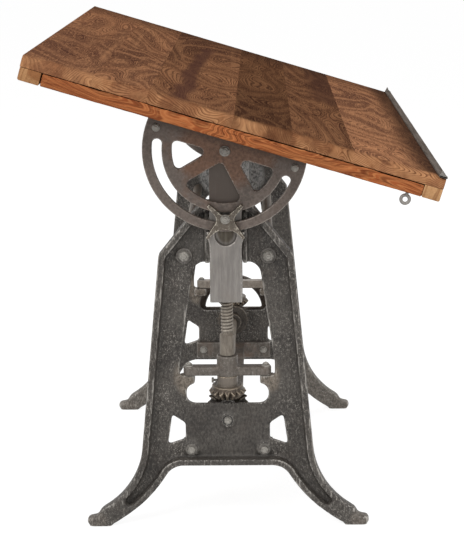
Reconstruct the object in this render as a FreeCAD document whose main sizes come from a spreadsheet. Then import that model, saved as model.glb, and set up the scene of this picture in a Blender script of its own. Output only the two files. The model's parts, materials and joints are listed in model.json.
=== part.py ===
import FreeCAD, Part
import math
import os
import Sketcher

# Drafting desk: two cast end frames, a post on a lead screw in each frame, one geared shaft that
# turns both screws, and a timber top that tilts on a slotted sector at each end.
# The near end is at -Y, the low edge of the top at +X, and the floor at Z 0.

Vector = FreeCAD.Vector
Rotation = FreeCAD.Rotation

DIMENSIONS = {
    # end frame casting
    "frame_spacing": 860.0,
    "frame_height": 789.0,
    "frame_top_half": 62.0,
    "shoulder_height": 671.0,
    "shoulder_half": 156.0,
    "waist_height": 196.0,
    "waist_half": 204.0,
    "ankle_half": 307.0,
    "ankle_height": 42.0,
    "leg_outer_radius": 195.0,
    "toe_half": 330.0,
    "toe_neck_half": 315.0,
    "toe_radius": 12.0,
    "heel_half": 282.0,
    "foot_radius": 96.0,
    "leg_inner_low_half": 265.0,
    "leg_inner_low_height": 11.0,
    "leg_inner_high_half": 146.0,
    "leg_inner_high_height": 132.0,
    "leg_inner_radius": 345.0,
    "arch_half": 112.0,
    "arch_height": 154.0,
    "arch_radius": 46.0,
    "casting_wall": 10.0,
    "rim_depth": 24.0,
    "rim_width": 16.0,
    # windows of the frame
    "window_top": 650.0,
    "window_top_half": 52.0,
    "window_shoulder": 621.0,
    "window_shoulder_half": 80.0,
    "window_corner": 31.0,
    "window_low": 404.0,
    "window_low_half": 112.0,
    "lug_half": 77.0,
    "lug_drop": 22.0,
    "lug_reach": 16.0,
    "lower_window_half": 97.0,
    "lower_window_mid": 333.0,
    "lower_window_low": 324.0,
    "lower_window_bottom": 305.0,
    "lower_window_corner": 20.0,
    "side_window_top": 275.0,
    "side_window_bottom": 201.0,
    "side_window_notch_top": 254.0,
    "side_window_notch_bottom": 216.0,
    "side_window_notch": 101.0,
    "side_window_top_half": 132.0,
    "side_window_bottom_half": 143.0,
    # guide box for the post
    "guide_wall": 12.0,
    "guide_lip": 14.0,
    "slide_gap": 0.4,
    # bolts of the frame
    "bolt_radius": 7.0,
    "bolt_head_radius": 13.0,
    "bolt_head_height": 9.0,
    "boss_radius": 18.0,
    "boss_height": 5.0,
    "bolt_fit": 0.2,
    "tie_inset": 58.5,
    "tie_drop": 5.0,
    "tie_radius": 12.0,
    "tie_thread": 24.0,
    "stretcher_bolt_half": 87.0,
    "stretcher_bolt_height": 190.0,
    "bearing_bolt_drop": 28.0,
    # cross stretcher
    "stretcher_flange_half": 107.0,
    "stretcher_flange_low": 165.0,
    "stretcher_flange_height": 46.0,
    "stretcher_flange_thick": 14.0,
    "stretcher_width": 64.0,
    "stretcher_plate": 10.0,
    "stretcher_rib": 34.0,
    # post
    "post_width": 74.0,
    "post_back": 42.0,
    "post_bottom": 565.0,
    "post_ear": 7.0,
    "post_ear_height": 32.0,
    "pocket_radius": 25.0,
    "pocket_depth": 10.0,
    "pivot_height": 918.0,
    "pivot_radius": 9.0,
    "pivot_head_radius": 13.0,
    "pivot_nut_height": 10.0,
    "pivot_fit": 0.05,
    # lead screw, nut and bracket
    "screw_inset": 8.0,
    "screw_radius": 15.0,
    "screw_end_gap": 25.0,
    "shank_radius": 17.5,
    "shank_length": 55.0,
    "journal_radius": 12.0,
    "journal_drop": 27.0,
    "thrust_gap": 0.2,
    "running_fit": 0.05,
    "bore_gap": 1.5,
    "bore_top_gap": 6.0,
    "nut_radius": 20.0,
    "nut_height": 32.0,
    "thread_fit": 0.1,
    "bar_bottom": 374.0,
    "bar_height": 22.0,
    "bar_half": 104.0,
    "bar_thick": 28.0,
    "collar_radius": 25.0,
    "collar_height": 27.0,
    "bracket_bolt_half": 91.0,
    "bracket_bolt_radius": 5.0,
    "bracket_bolt_head": 8.0,
    "bracket_bolt_head_height": 6.0,
    # gears, shaft and handwheel
    "gear_module": 5.08,
    "screw_gear_teeth": 16.0,
    "shaft_gear_teeth": 18.0,
    "gear_face": 22.0,
    "gear_back": 8.0,
    "gear_hub_radius": 23.5,
    "shaft_gear_hub": 26.0,
    "set_screw_drop": 14.0,
    "set_screw_radius": 3.0,
    "set_screw_head": 5.0,
    "set_screw_length": 14.0,
    "shaft_height": 291.0,
    "shaft_radius": 11.0,
    "shaft_end_gap": 1.0,
    "bearing_radius": 18.0,
    "bearing_length": 20.0,
    "bearing_foot_half": 26.0,
    "bearing_foot_thick": 12.0,
    "wheel_radius": 94.0,
    "wheel_rim": 11.5,
    "wheel_gap": 10.0,
    "wheel_hub_radius": 24.0,
    "wheel_hub_length": 44.0,
    "wheel_spoke_radius": 7.0,
    # sector, clamp and bracket under the top
    "rest_tilt": 16.5,
    "sector_radius": 186.0,
    "sector_thick": 12.0,
    "sector_rise": 30.0,
    "sector_gap": 0.3,
    "slot_radius": 153.0,
    "slot_width": 22.0,
    "slot_half_angle": 80.0,
    "sector_window_radius": 119.0,
    "sector_window_top": 8.0,
    "sector_window_corner": 11.0,
    "spoke_half": 17.0,
    "spoke_angle": 47.0,
    "sector_bolt_half": 162.0,
    "sector_bolt_rise": 8.0,
    "sector_bolt_radius": 5.0,
    "sector_bolt_head": 9.0,
    "sector_bolt_head_height": 7.0,
    "clamp_top_half": 41.0,
    "clamp_top_rise": 34.0,
    "clamp_tip": 5.0,
    "clamp_notch_half": 8.0,
    "clamp_notch_rise": 9.0,
    "clamp_waist_half": 24.0,
    "clamp_waist_rise": 9.0,
    "clamp_waist_drop": 13.0,
    "clamp_waist_radius": 18.7,
    "clamp_low_half": 44.0,
    "clamp_low_drop": 48.0,
    "clamp_low_radius": 44.0,
    "clamp_thick": 17.0,
    "clamp_bolt_radius": 6.0,
    "clamp_thread": 22.0,
    "clamp_bolt_head": 10.0,
    "clamp_bolt_head_height": 8.0,
    "bracket_rim_gap": 1.7,
    "bracket_thick": 8.0,
    "bracket_tab": 20.0,
    "bracket_tab_low": 12.0,
    "bracket_clear": 41.0,
    "bracket_leg": 70.0,
    # timber top
    "top_depth": 914.0,
    "top_length": 1372.0,
    "board_rise": 90.0,
    "board_thick": 24.0,
    "front_rail_width": 40.0,
    "back_rail_width": 46.0,
    "rail_depth": 28.0,
    "cleat_width": 60.0,
    "ledge_width": 18.5,
    "ledge_thick": 4.0,
    "ledge_overhang": 1.5,
    "ledge_stop_thick": 3.0,
    "ledge_stop_height": 11.0,
    "ledge_stop_lean": 3.0,
    "eye_side_inset": 29.0,
    "eye_radius": 9.0,
    "eye_wire": 2.6,
    "eye_shank": 14.0,
    "eye_drop": 16.0,
    "eye_inset": 14.0,
}
BOARD_SHARES = (0.17, 0.135, 0.21, 0.145, 0.154)
TOOTH_FILL = 0.84
PRESSURE_ANGLE = 20.0
ADDENDUM = 0.95
DEDENDUM = 1.25
TOOTH_SINK = 0.12
HEX_SIDES = 6
RING_SIDES = 12

doc = FreeCAD.newDocument("drafting_desk")
sheet = doc.addObject("Spreadsheet::Sheet", "dims")
for row, (alias, size) in enumerate(DIMENSIONS.items(), start=1):
    sheet.set(f"A{row}", alias)
    sheet.set(f"B{row}", str(size))
    sheet.setAlias(f"B{row}", alias)
doc.recompute()

# Shared places, as distances from the middle of the desk or from the floor.
WEB_OUT = "(dims.frame_spacing / 2 - dims.rim_depth)"
WEB_IN = f"({WEB_OUT} - dims.casting_wall)"
BRACKET_BACK = "(dims.frame_spacing / 2 + dims.bracket_rim_gap)"
SECTOR_BACK = f"({BRACKET_BACK} + dims.bracket_thick)"
POST_FRONT = f"({SECTOR_BACK} + dims.sector_thick)"
POST_STEP = f"({SECTOR_BACK} - dims.sector_gap)"
POST_BACK = f"({WEB_OUT} - dims.post_back)"
CLAMP_BACK = f"({POST_FRONT} + dims.sector_gap)"
SCREW_Y = f"({WEB_OUT} - dims.screw_inset)"
CLAMP_HEIGHT = "(dims.pivot_height - dims.slot_radius)"
STEP_HEIGHT = "(dims.pivot_height - dims.sector_radius - 2 * dims.slide_gap)"
BAR_TOP = "(dims.bar_bottom + dims.bar_height)"
COLLAR_TOP = f"({BAR_TOP} + dims.collar_height)"
TOP_RIGHT = (
    "((dims.top_depth / 2 + dims.ledge_overhang) * cos(dims.rest_tilt)"
    " + (dims.board_rise + dims.board_thick + dims.ledge_thick) * sin(dims.rest_tilt))"
)
TOP_LEFT = (
    "(dims.top_depth / 2 * cos(dims.rest_tilt)"
    " - (dims.board_rise - dims.rail_depth) * sin(dims.rest_tilt))"
)
BOX_SHIFT = f"(({TOP_LEFT} - {TOP_RIGHT}) / 2)"
WHEEL_Y = "(dims.frame_spacing / 2 + dims.wheel_gap + dims.wheel_hub_length / 2)"
SET_HEIGHT = "(dims.bar_bottom - dims.set_screw_drop)"
TIE_HALF = "(dims.shoulder_half - dims.tie_inset)"
TIE_HEIGHT = "(dims.shoulder_height - dims.tie_drop)"
BORE_TOP = f"({CLAMP_HEIGHT} - dims.clamp_bolt_radius - dims.bore_top_gap)"
CLEAT_RIGHT = "(dims.top_depth / 2 - dims.front_rail_width)"
EYE_X = f"({CLEAT_RIGHT} - dims.eye_side_inset)"
EYE_Y = "-(dims.top_length / 2 - dims.eye_inset)"

nodes = []


def number(expression):
    return float(sheet.evalExpression(expression))


def place(item, x="0", y="0", z="0", rotation=None):
    if rotation is not None:
        item.Placement = FreeCAD.Placement(Vector(), rotation)
    for axis, expression in zip("xyz", (x, y, z)):
        item.setExpression(f"Placement.Base.{axis}", expression)
    return item


def box(name, low, size):
    item = doc.addObject("Part::Box", name)
    for side, expression in zip(("Length", "Width", "Height"), size):
        item.setExpression(side, expression)
    return place(item, *low)


def rod(name, radius, length, start, direction=Vector(0, 0, 1)):
    item = doc.addObject("Part::Cylinder", name)
    item.setExpression("Radius", radius)
    item.setExpression("Height", length)
    return place(item, *start, rotation=Rotation(Vector(0, 0, 1), direction))


def hexagon(name, radius, length, start, direction=Vector(0, 0, 1)):
    item = doc.addObject("Part::Prism", name)
    item.Polygon = HEX_SIDES
    item.setExpression("Circumradius", radius)
    item.setExpression("Height", length)
    return place(item, *start, rotation=Rotation(Vector(0, 0, 1), direction))


def fuse(name, items):
    item = doc.addObject("Part::MultiFuse", name)
    item.Shapes = items
    item.Refine = True
    return item


def cut(name, base, tools):
    item = doc.addObject("Part::Cut", name)
    item.Base = base
    item.Tool = tools[0] if len(tools) == 1 else fuse(name + "_tools", tools)
    item.Refine = True
    return item


def group(name, items):
    item = doc.addObject("Part::Compound", name)
    item.Links = items
    return item


def mirror(name, source):
    item = doc.addObject("Part::Mirroring", name)
    item.Source = source
    item.Normal = Vector(0, 1, 0)
    return item


def both_sides(points):
    # A half outline from its top to its bottom becomes a whole one, mirrored in X.
    left = [(f"-({x})", z, *arc) for x, z, *arc in reversed(points)]
    arcs = [tuple(arc) for _, _, *arc in points]
    shifted = [arcs[i - 1] if i else () for i in range(len(arcs))]
    left = [(x, z, *arc) for (x, z, *_), arc in zip(left, reversed(shifted))]
    return list(points) + left


def add_loop(sketch, points):
    # Each point is (x, z) or (x, z, radius, side): side +1 or -1 bows the run to the next point.
    places = [Vector(number(x), number(z), 0) for x, z, *_ in points]
    first = sketch.GeometryCount
    count = len(points)
    ends = []
    rules = []
    bound = []
    for index, (start, (_, _, *arc)) in enumerate(zip(places, points)):
        end = places[(index + 1) % count]
        if not arc:
            sketch.addGeometry(Part.LineSegment(start, end), False)
            ends.append((1, 2))
            continue
        radius, side = number(arc[0]), arc[1]
        run = end - start
        sag = radius - math.sqrt(max(radius ** 2 - (run.Length / 2) ** 2, 0.0))
        normal = Vector(-run.y, run.x, 0).normalize()
        geometry = sketch.addGeometry(Part.Arc(start, (start + end) * 0.5 + normal * sag * side, end), False)
        gaps = [(sketch.getPoint(geometry, end_kind) - start).Length for end_kind in (1, 2)]
        ends.append((1, 2) if gaps[0] < gaps[1] else (2, 1))
        bound.append((len(rules), arc[0]))
        rules.append(Sketcher.Constraint("Radius", geometry, radius))
    for index, (x, z, *_) in enumerate(points):
        follower = (index + 1) % count
        for kind, expression in (("DistanceX", x), ("DistanceY", z)):
            bound.append((len(rules), expression))
            rules.append(Sketcher.Constraint(
                kind, -1, 1, first + index, ends[index][0], number(expression)))
        rules.append(Sketcher.Constraint(
            "Coincident", first + index, ends[index][1], first + follower, ends[follower][0]))
    offset = sketch.ConstraintCount
    sketch.addConstraint(rules)
    for rule, expression in bound:
        sketch.setExpression(f"Constraints[{offset + rule}]", expression)


def sketch_on(body, name, role, offset, loops):
    plane = [item for item in body.Origin.OriginFeatures if item.Role == role][0]
    sketch = body.newObject("Sketcher::SketchObject", name)
    sketch.AttachmentSupport = (plane, [""])
    sketch.MapMode = "FlatFace"
    sketch.setExpression("AttachmentOffset.Base.z", offset)
    for loop in loops:
        add_loop(sketch, loop)
    return sketch


def plate(name, back, thick, outline):
    # An upright plate whose back lies at the distance back on the near side of the middle.
    body = doc.addObject("PartDesign::Body", name)
    sketch = sketch_on(body, name + "_outline", "XZ_Plane", back, [outline])
    pad = body.newObject("PartDesign::Pad", name + "_pad")
    pad.Profile = sketch
    pad.setExpression("Length", thick)
    doc.recompute()
    return body


def node(label, item):
    item.Label = label
    nodes.append(item)
    return item


def base_node(label, item):
    return node(label, place(item, BOX_SHIFT))


def top_node(label, item):
    place(item, BOX_SHIFT, "0", "dims.pivot_height", Rotation(Vector(0, 1, 0), number("dims.rest_tilt")))
    item.setExpression("Placement.Rotation.Angle", "dims.rest_tilt")
    return node(label, item)


def far_node(label, source):
    return node(label, mirror(label, source))


def bolt(name, radius, length, head_radius, head_height, start, direction):
    # The head stands on the start point and the shank runs from there along the direction.
    shank = rod(name + "_shank", radius, length, start, direction)
    head = hexagon(name + "_head", head_radius, head_height, start, direction * -1)
    return fuse(name, [shank, head])


INWARD = Vector(0, 1, 0)
OUTWARD = Vector(0, -1, 0)


def end_frame():
    outline = both_sides([
        ("dims.frame_top_half", "dims.frame_height"),
        ("dims.shoulder_half", "dims.shoulder_height"),
        ("dims.waist_half", "dims.waist_height", "dims.leg_outer_radius", -1),
        ("dims.ankle_half", "dims.ankle_height"),
        ("dims.toe_neck_half", "2 * dims.toe_radius"),
        ("dims.toe_half", "2 * dims.toe_radius", "dims.toe_radius", 1),
        ("dims.toe_half + dims.toe_radius", "dims.toe_radius", "dims.toe_radius", 1),
        ("dims.toe_half", "0"),
        ("dims.heel_half", "0"),
        ("dims.leg_inner_low_half", "dims.leg_inner_low_height", "dims.leg_inner_radius", 1),
        ("dims.leg_inner_high_half", "dims.leg_inner_high_height", "dims.arch_radius", -1),
        ("dims.arch_half", "dims.arch_height"),
    ])
    depth = "dims.casting_wall + dims.rim_depth"
    body = plate("frame_casting", WEB_IN, depth, outline)
    inside = doc.addObject("Part::Offset2D", "rim_inside")
    inside.Source = body.Tip.Profile[0]
    inside.Join = "Arc"
    inside.setExpression("Value", "-dims.rim_width")
    hollow = doc.addObject("Part::Extrusion", "rim_hollow")
    hollow.Base = inside
    hollow.DirMode = "Custom"
    hollow.Dir = OUTWARD
    hollow.Solid = True
    hollow.setExpression("LengthFwd", "dims.rim_depth + dims.casting_wall")
    place(hollow, "0", "-dims.casting_wall")
    main_window = both_sides([
        ("dims.window_top_half", "dims.window_top", "dims.window_corner", 1),
        ("dims.window_shoulder_half", "dims.window_shoulder"),
        ("dims.window_low_half", "dims.window_low"),
        ("dims.window_low_half", "dims.bar_bottom"),
        ("dims.lug_half", "dims.bar_bottom"),
        ("dims.lug_half", "dims.bar_bottom - dims.lug_drop", "dims.lower_window_corner", 1),
        ("dims.lower_window_half", "dims.lower_window_mid"),
        ("dims.lower_window_half", "dims.lower_window_low", "dims.lower_window_corner", 1),
        ("dims.lower_window_half - dims.lower_window_corner", "dims.lower_window_bottom"),
    ])
    side_window = [
        ("dims.side_window_top_half", "dims.side_window_top"),
        ("dims.side_window_bottom_half", "dims.side_window_bottom"),
        ("dims.side_window_notch", "dims.side_window_notch_bottom"),
        ("dims.side_window_notch", "dims.side_window_notch_top"),
    ]
    other_window = [(f"-({x})", z) for x, z in side_window]
    windows = [plate(name, f"({WEB_IN} - dims.casting_wall)", "3 * dims.casting_wall", loop)
               for name, loop in (("main_window", main_window), ("right_window", side_window),
                                  ("left_window", other_window))]
    feet = []
    for x in pair("dims.toe_half"):
        start = (x, f"-{WEB_IN} + dims.casting_wall", "dims.toe_radius")
        feet.append(rod("solid_foot", "dims.foot_radius", f"2 * ({depth})", start, OUTWARD))
    tray = cut("tray_space", hollow, feet)
    added = [cut("frame_tray", body, [tray, *windows])]
    for side in ("1", "-1"):
        for kind, half, height in (("tie", TIE_HALF, TIE_HEIGHT),
                                   ("stretcher", "dims.stretcher_bolt_half", "dims.stretcher_bolt_height")):
            start = (f"{side} * {half}", f"-{WEB_OUT}", height)
            added.append(rod(kind + "_boss", "dims.boss_radius", "dims.boss_height", start, OUTWARD))
        lug_low = (f"{side} * (dims.lug_half + dims.window_low_half) / 2"
                   " - (dims.window_low_half - dims.lug_half) / 2")
        added.append(box("bracket_lug",
                         (lug_low, f"-{WEB_IN}", "dims.bar_bottom - dims.lug_drop"),
                         ("dims.window_low_half - dims.lug_half",
                          "dims.lug_reach", "dims.lug_drop")))
        toe = (f"{side} * dims.toe_half", f"-{WEB_IN}", "dims.toe_radius")
        added.append(rod("toe", "dims.toe_radius", depth, toe, OUTWARD))
    boss = ("0", f"-{WEB_OUT}", "dims.shaft_height - dims.bearing_bolt_drop")
    added.append(rod("bearing_boss", "dims.boss_radius", "dims.boss_height", boss, OUTWARD))
    guide_half = "(dims.post_width / 2 + dims.slide_gap + dims.guide_wall)"
    guide_back = f"({POST_BACK} - dims.slide_gap - dims.guide_wall)"
    added.append(box("guide_box",
                     (f"-{guide_half}", f"-({WEB_OUT} + dims.guide_lip)", "dims.window_top"),
                     (f"2 * {guide_half}", f"{WEB_OUT} + dims.guide_lip - {guide_back}",
                      "dims.frame_height - dims.window_top")))
    casting = fuse("frame_solid", added)
    slot_half = "(dims.post_width / 2 + dims.slide_gap)"
    slot_low = "dims.window_top - dims.boss_radius"
    tools = [box("post_slot", (f"-{slot_half}", f"-{POST_FRONT}", slot_low),
                 (f"2 * {slot_half}", f"{POST_FRONT} - {POST_BACK} + dims.slide_gap", "dims.frame_height"))]
    ear_half = f"({slot_half} + dims.post_ear)"
    lip_front = f"({WEB_OUT} + dims.guide_lip)"
    tools.append(box("ear_slot", (f"-{ear_half}", f"-{POST_FRONT}", slot_low),
                     (f"2 * {ear_half}", f"{POST_FRONT} - {lip_front}", "dims.frame_height")))
    hole = "dims.bolt_radius + dims.bolt_fit"
    drill = f"{WEB_OUT}"
    for side in ("1", "-1"):
        for kind, half, height in (("tie", TIE_HALF, TIE_HEIGHT),
                                   ("stretcher", "dims.stretcher_bolt_half", "dims.stretcher_bolt_height")):
            start = (f"{side} * {half}", f"-{POST_FRONT}", height)
            tools.append(rod(kind + "_hole", hole, drill, start, INWARD))
        start = (f"{side} * dims.bracket_bolt_half", f"-{SCREW_Y}", "dims.bar_bottom - dims.lug_drop")
        narrow = "dims.bracket_bolt_radius + dims.bolt_fit"
        tools.append(rod("bracket_hole", narrow, "2 * dims.lug_drop", start))
    tools.append(rod("bearing_hole", hole, drill, ("0", f"-{POST_FRONT}", boss[2]), INWARD))
    return cut("frame", casting, tools)


def far_frame(near_frame):
    # The far casting is the near one's mirror image, open at the shaft, which runs out to the handwheel.
    casting = mirror("far_casting", near_frame)
    hole = "(dims.shaft_radius + dims.shaft_end_gap)"
    start = (BOX_SHIFT, WEB_IN + " / 2", "dims.shaft_height")
    round_end = rod("shaft_hole", hole, "dims.frame_spacing / 2", start, INWARD)
    mouth = box("shaft_mouth", (f"{BOX_SHIFT} - {hole}", WEB_IN + " / 2", "dims.shaft_height"),
                (f"2 * {hole}", "dims.frame_spacing / 2", "dims.lower_window_low - dims.shaft_height"))
    return cut("far_frame", casting, [round_end, mouth])


def stretcher():
    pieces = []
    starts = (("near_flange", f"-{WEB_IN}"), ("far_flange", f"{WEB_IN} - dims.stretcher_flange_thick"))
    for name, start in starts:
        pieces.append(box(name, ("-dims.stretcher_flange_half", start, "dims.stretcher_flange_low"),
                          ("2 * dims.stretcher_flange_half", "dims.stretcher_flange_thick",
                           "dims.stretcher_flange_height")))
    plate_low = "(dims.stretcher_flange_low + dims.stretcher_flange_height - dims.stretcher_plate)"
    pieces.append(box("stretcher_top", ("-dims.stretcher_width / 2", f"-{WEB_IN}", plate_low),
                      ("dims.stretcher_width", f"2 * {WEB_IN}", "dims.stretcher_plate")))
    pieces.append(box("stretcher_web",
                      ("-dims.stretcher_plate / 2", f"-{WEB_IN}", f"{plate_low} - dims.stretcher_rib"),
                      ("dims.stretcher_plate", f"2 * {WEB_IN}", "dims.stretcher_rib")))
    holes = [rod("stretcher_hole", "dims.bolt_radius + dims.bolt_fit", f"2 * {WEB_OUT}",
                 (f"{side} * dims.stretcher_bolt_half", f"-{WEB_OUT}", "dims.stretcher_bolt_height"), INWARD)
             for side in ("1", "-1")]
    return cut("stretcher", fuse("stretcher_solid", pieces), holes)


def frame_bolts(name, places, length):
    # Bolts through the bosses of both frames, heads outward.
    bolts = []
    for x, z in places:
        for end, direction in (("-1", INWARD), ("1", OUTWARD)):
            start = (x, f"{end} * ({WEB_OUT} + dims.boss_height)", z)
            bolts.append(bolt(name + "_bolt", "dims.bolt_radius", length, "dims.bolt_head_radius",
                              "dims.bolt_head_height", start, direction))
    return group(name, bolts)


def pair(half):
    return half, f"-{half}"


def tie_rods():
    rods = []
    depth = "dims.tie_thread + dims.tie_radius"
    for x in pair(TIE_HALF):
        bar = rod("tie_bar", "dims.tie_radius", f"2 * {WEB_IN}", (x, f"-{WEB_IN}", TIE_HEIGHT), INWARD)
        holes = [rod("tie_thread_hole", "dims.bolt_radius + dims.bolt_fit", depth,
                     (x, y, TIE_HEIGHT), way)
                 for y, way in ((f"-{WEB_IN}", INWARD), (WEB_IN, OUTWARD))]
        rods.append(cut("tie_rod", bar, holes))
    return group("tie_rod_pair", rods)


def stretcher_nuts():
    nuts = []
    for x in pair("dims.stretcher_bolt_half"):
        for end, way in (("-1", INWARD), ("1", OUTWARD)):
            start = (x, f"{end} * ({WEB_IN} - dims.stretcher_flange_thick)", "dims.stretcher_bolt_height")
            height = "dims.bolt_head_height"
            blank = hexagon("stretcher_nut_blank", "dims.bolt_head_radius", height, start, way)
            hole = rod("stretcher_nut_hole", "dims.bolt_radius + dims.bolt_fit", height, start, way)
            nuts.append(cut("stretcher_nut", blank, [hole]))
    return group("stretcher_nut_set", nuts)


def post():
    half = "dims.post_width / 2"
    face_back = f"({WEB_OUT} + dims.guide_lip + dims.slide_gap)"
    face = plate("post_face", face_back, f"{POST_FRONT} - {face_back}", both_sides([
        (f"{half} + dims.post_ear", STEP_HEIGHT),
        (half, f"{STEP_HEIGHT} - dims.post_ear_height"),
        (half, "dims.post_bottom"),
    ]))
    slide = box("post_slide", (f"-{half}", f"-{face_back}", "dims.post_bottom"),
                ("dims.post_width", f"{face_back} - {POST_BACK}", f"{STEP_HEIGHT} - dims.post_bottom"))
    depth = f"{POST_STEP} - {POST_BACK}"
    neck = box("post_neck", (f"-{half}", f"-{POST_STEP}", STEP_HEIGHT),
               ("dims.post_width", depth, f"dims.pivot_height - {STEP_HEIGHT}"))
    crown = rod("post_crown", half, depth, ("0", f"-{POST_STEP}", "dims.pivot_height"), INWARD)
    solid = fuse("post_solid", [face, slide, neck, crown])
    screw = ("0", f"-{SCREW_Y}", "dims.post_bottom")
    tools = [
        rod("screw_bore", "dims.screw_radius + dims.bore_gap", f"{BORE_TOP} - dims.post_bottom", screw),
        rod("nut_bore", "dims.nut_radius + dims.bolt_fit", "dims.nut_height", screw),
        rod("pivot_bore", "dims.pivot_radius + dims.bolt_fit", depth,
            ("0", f"-{POST_STEP}", "dims.pivot_height"), INWARD),
        rod("clamp_bore", "dims.clamp_bolt_radius + dims.bolt_fit", "dims.clamp_thread",
            ("0", f"-{POST_STEP}", CLAMP_HEIGHT), INWARD),
        rod("throat", "dims.pocket_radius", "dims.pocket_depth",
            ("0", f"-{POST_FRONT}", f"{STEP_HEIGHT} - dims.post_ear"), INWARD),
    ]
    return cut("post", solid, tools)


def clamp_head():
    # A four-armed bow tie: its arms bear on the sector on both sides of the slot.
    def spot(half, rise, *arc):
        return (half, f"{CLAMP_HEIGHT} + {rise}", *arc)

    bow = plate("clamp_bow", CLAMP_BACK, "dims.clamp_thick", both_sides([
        spot("dims.clamp_notch_half", "dims.clamp_notch_rise"),
        spot("dims.clamp_top_half - dims.clamp_tip", "dims.clamp_top_rise"),
        spot("dims.clamp_top_half", "dims.clamp_top_rise - dims.clamp_tip"),
        spot("dims.clamp_waist_half", "dims.clamp_waist_rise", "dims.clamp_waist_radius", -1),
        spot("dims.clamp_waist_half", "-dims.clamp_waist_drop"),
        spot("dims.clamp_low_half", "-(dims.clamp_low_drop - dims.clamp_tip)"),
        spot("dims.clamp_low_half - dims.clamp_tip", "-dims.clamp_low_drop", "dims.clamp_low_radius", -1),
    ]))
    hole = rod("clamp_hole", "dims.clamp_bolt_radius + dims.bolt_fit", "dims.clamp_thick",
               ("0", f"-{CLAMP_BACK}", CLAMP_HEIGHT), OUTWARD)
    return cut("clamp", bow, [hole])


def clamp_bolt():
    front = f"({CLAMP_BACK} + dims.clamp_thick)"
    length = f"{front} - {POST_STEP} + dims.clamp_thread"
    return bolt("clamp_screw", "dims.clamp_bolt_radius", length, "dims.clamp_bolt_head",
                "dims.clamp_bolt_head_height", ("0", f"-{front}", CLAMP_HEIGHT), INWARD)


def pivot_bolt():
    length = f"{POST_FRONT} - {POST_BACK} + dims.pivot_nut_height + dims.pivot_radius / 2"
    return bolt("pivot_screw", "dims.pivot_radius", length, "dims.pivot_head_radius", "dims.bolt_head_height",
                ("0", f"-({POST_FRONT} + dims.sector_gap)", "dims.pivot_height"), INWARD)


def pivot_nut():
    start = ("0", f"-{POST_BACK}", "dims.pivot_height")
    height = "dims.pivot_nut_height"
    radius = "dims.pivot_head_radius + dims.bolt_head_height / 2"
    blank = hexagon("pivot_nut_blank", radius, height, start, INWARD)
    hole = rod("pivot_nut_hole", "dims.pivot_radius + dims.bolt_fit", height, start, INWARD)
    return cut("pivot_nut", blank, [hole])


def lead_screw():
    x, y = "0", f"-{SCREW_Y}"
    seat = f"({COLLAR_TOP} + dims.thrust_gap)"
    journal_low = "(dims.shaft_height + dims.journal_drop)"
    return fuse("screw", [
        rod("journal", "dims.journal_radius", f"{seat} - {journal_low}", (x, y, journal_low)),
        rod("shank", "dims.shank_radius", "dims.shank_length", (x, y, seat)),
        rod("thread", "dims.screw_radius", f"{BORE_TOP} - dims.screw_end_gap - {seat}", (x, y, seat)),
    ])


def lift_nut():
    start = ("0", f"-{SCREW_Y}", "dims.post_bottom")
    blank = rod("nut_blank", "dims.nut_radius", "dims.nut_height", start)
    hole = rod("nut_thread", "dims.screw_radius + dims.thread_fit", "dims.nut_height", start)
    return cut("nut", blank, [hole])


def screw_bracket():
    end_radius = "dims.bar_thick / 2"
    straight = f"(dims.bar_half - {end_radius})"
    pieces = [box("bar", (f"-{straight}", f"-({SCREW_Y} + {end_radius})", "dims.bar_bottom"),
                  (f"2 * {straight}", "dims.bar_thick", "dims.bar_height")),
              rod("collar", "dims.collar_radius", f"{COLLAR_TOP} - dims.bar_bottom",
                  ("0", f"-{SCREW_Y}", "dims.bar_bottom"))]
    holes = [rod("journal_bore", "dims.journal_radius + dims.running_fit", f"{COLLAR_TOP} - dims.bar_bottom",
                 ("0", f"-{SCREW_Y}", "dims.bar_bottom"))]
    for x in pair(straight):
        pieces.append(rod("bar_end", end_radius, "dims.bar_height", (x, f"-{SCREW_Y}", "dims.bar_bottom")))
    for x in pair("dims.bracket_bolt_half"):
        holes.append(rod("bar_bolt_hole", "dims.bracket_bolt_radius + dims.bolt_fit", "dims.bar_height",
                         (x, f"-{SCREW_Y}", "dims.bar_bottom")))
    return cut("bracket", fuse("bracket_solid", pieces), holes)


def bracket_bolts():
    bolts = []
    for x in pair("dims.bracket_bolt_half"):
        for y in pair(SCREW_Y):
            bolts.append(bolt("bracket_bolt", "dims.bracket_bolt_radius", "dims.bar_height + dims.lug_drop",
                              "dims.bracket_bolt_head", "dims.bracket_bolt_head_height", (x, y, BAR_TOP),
                              Vector(0, 0, -1)))
    return group("bracket_bolt_set", bolts)


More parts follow.
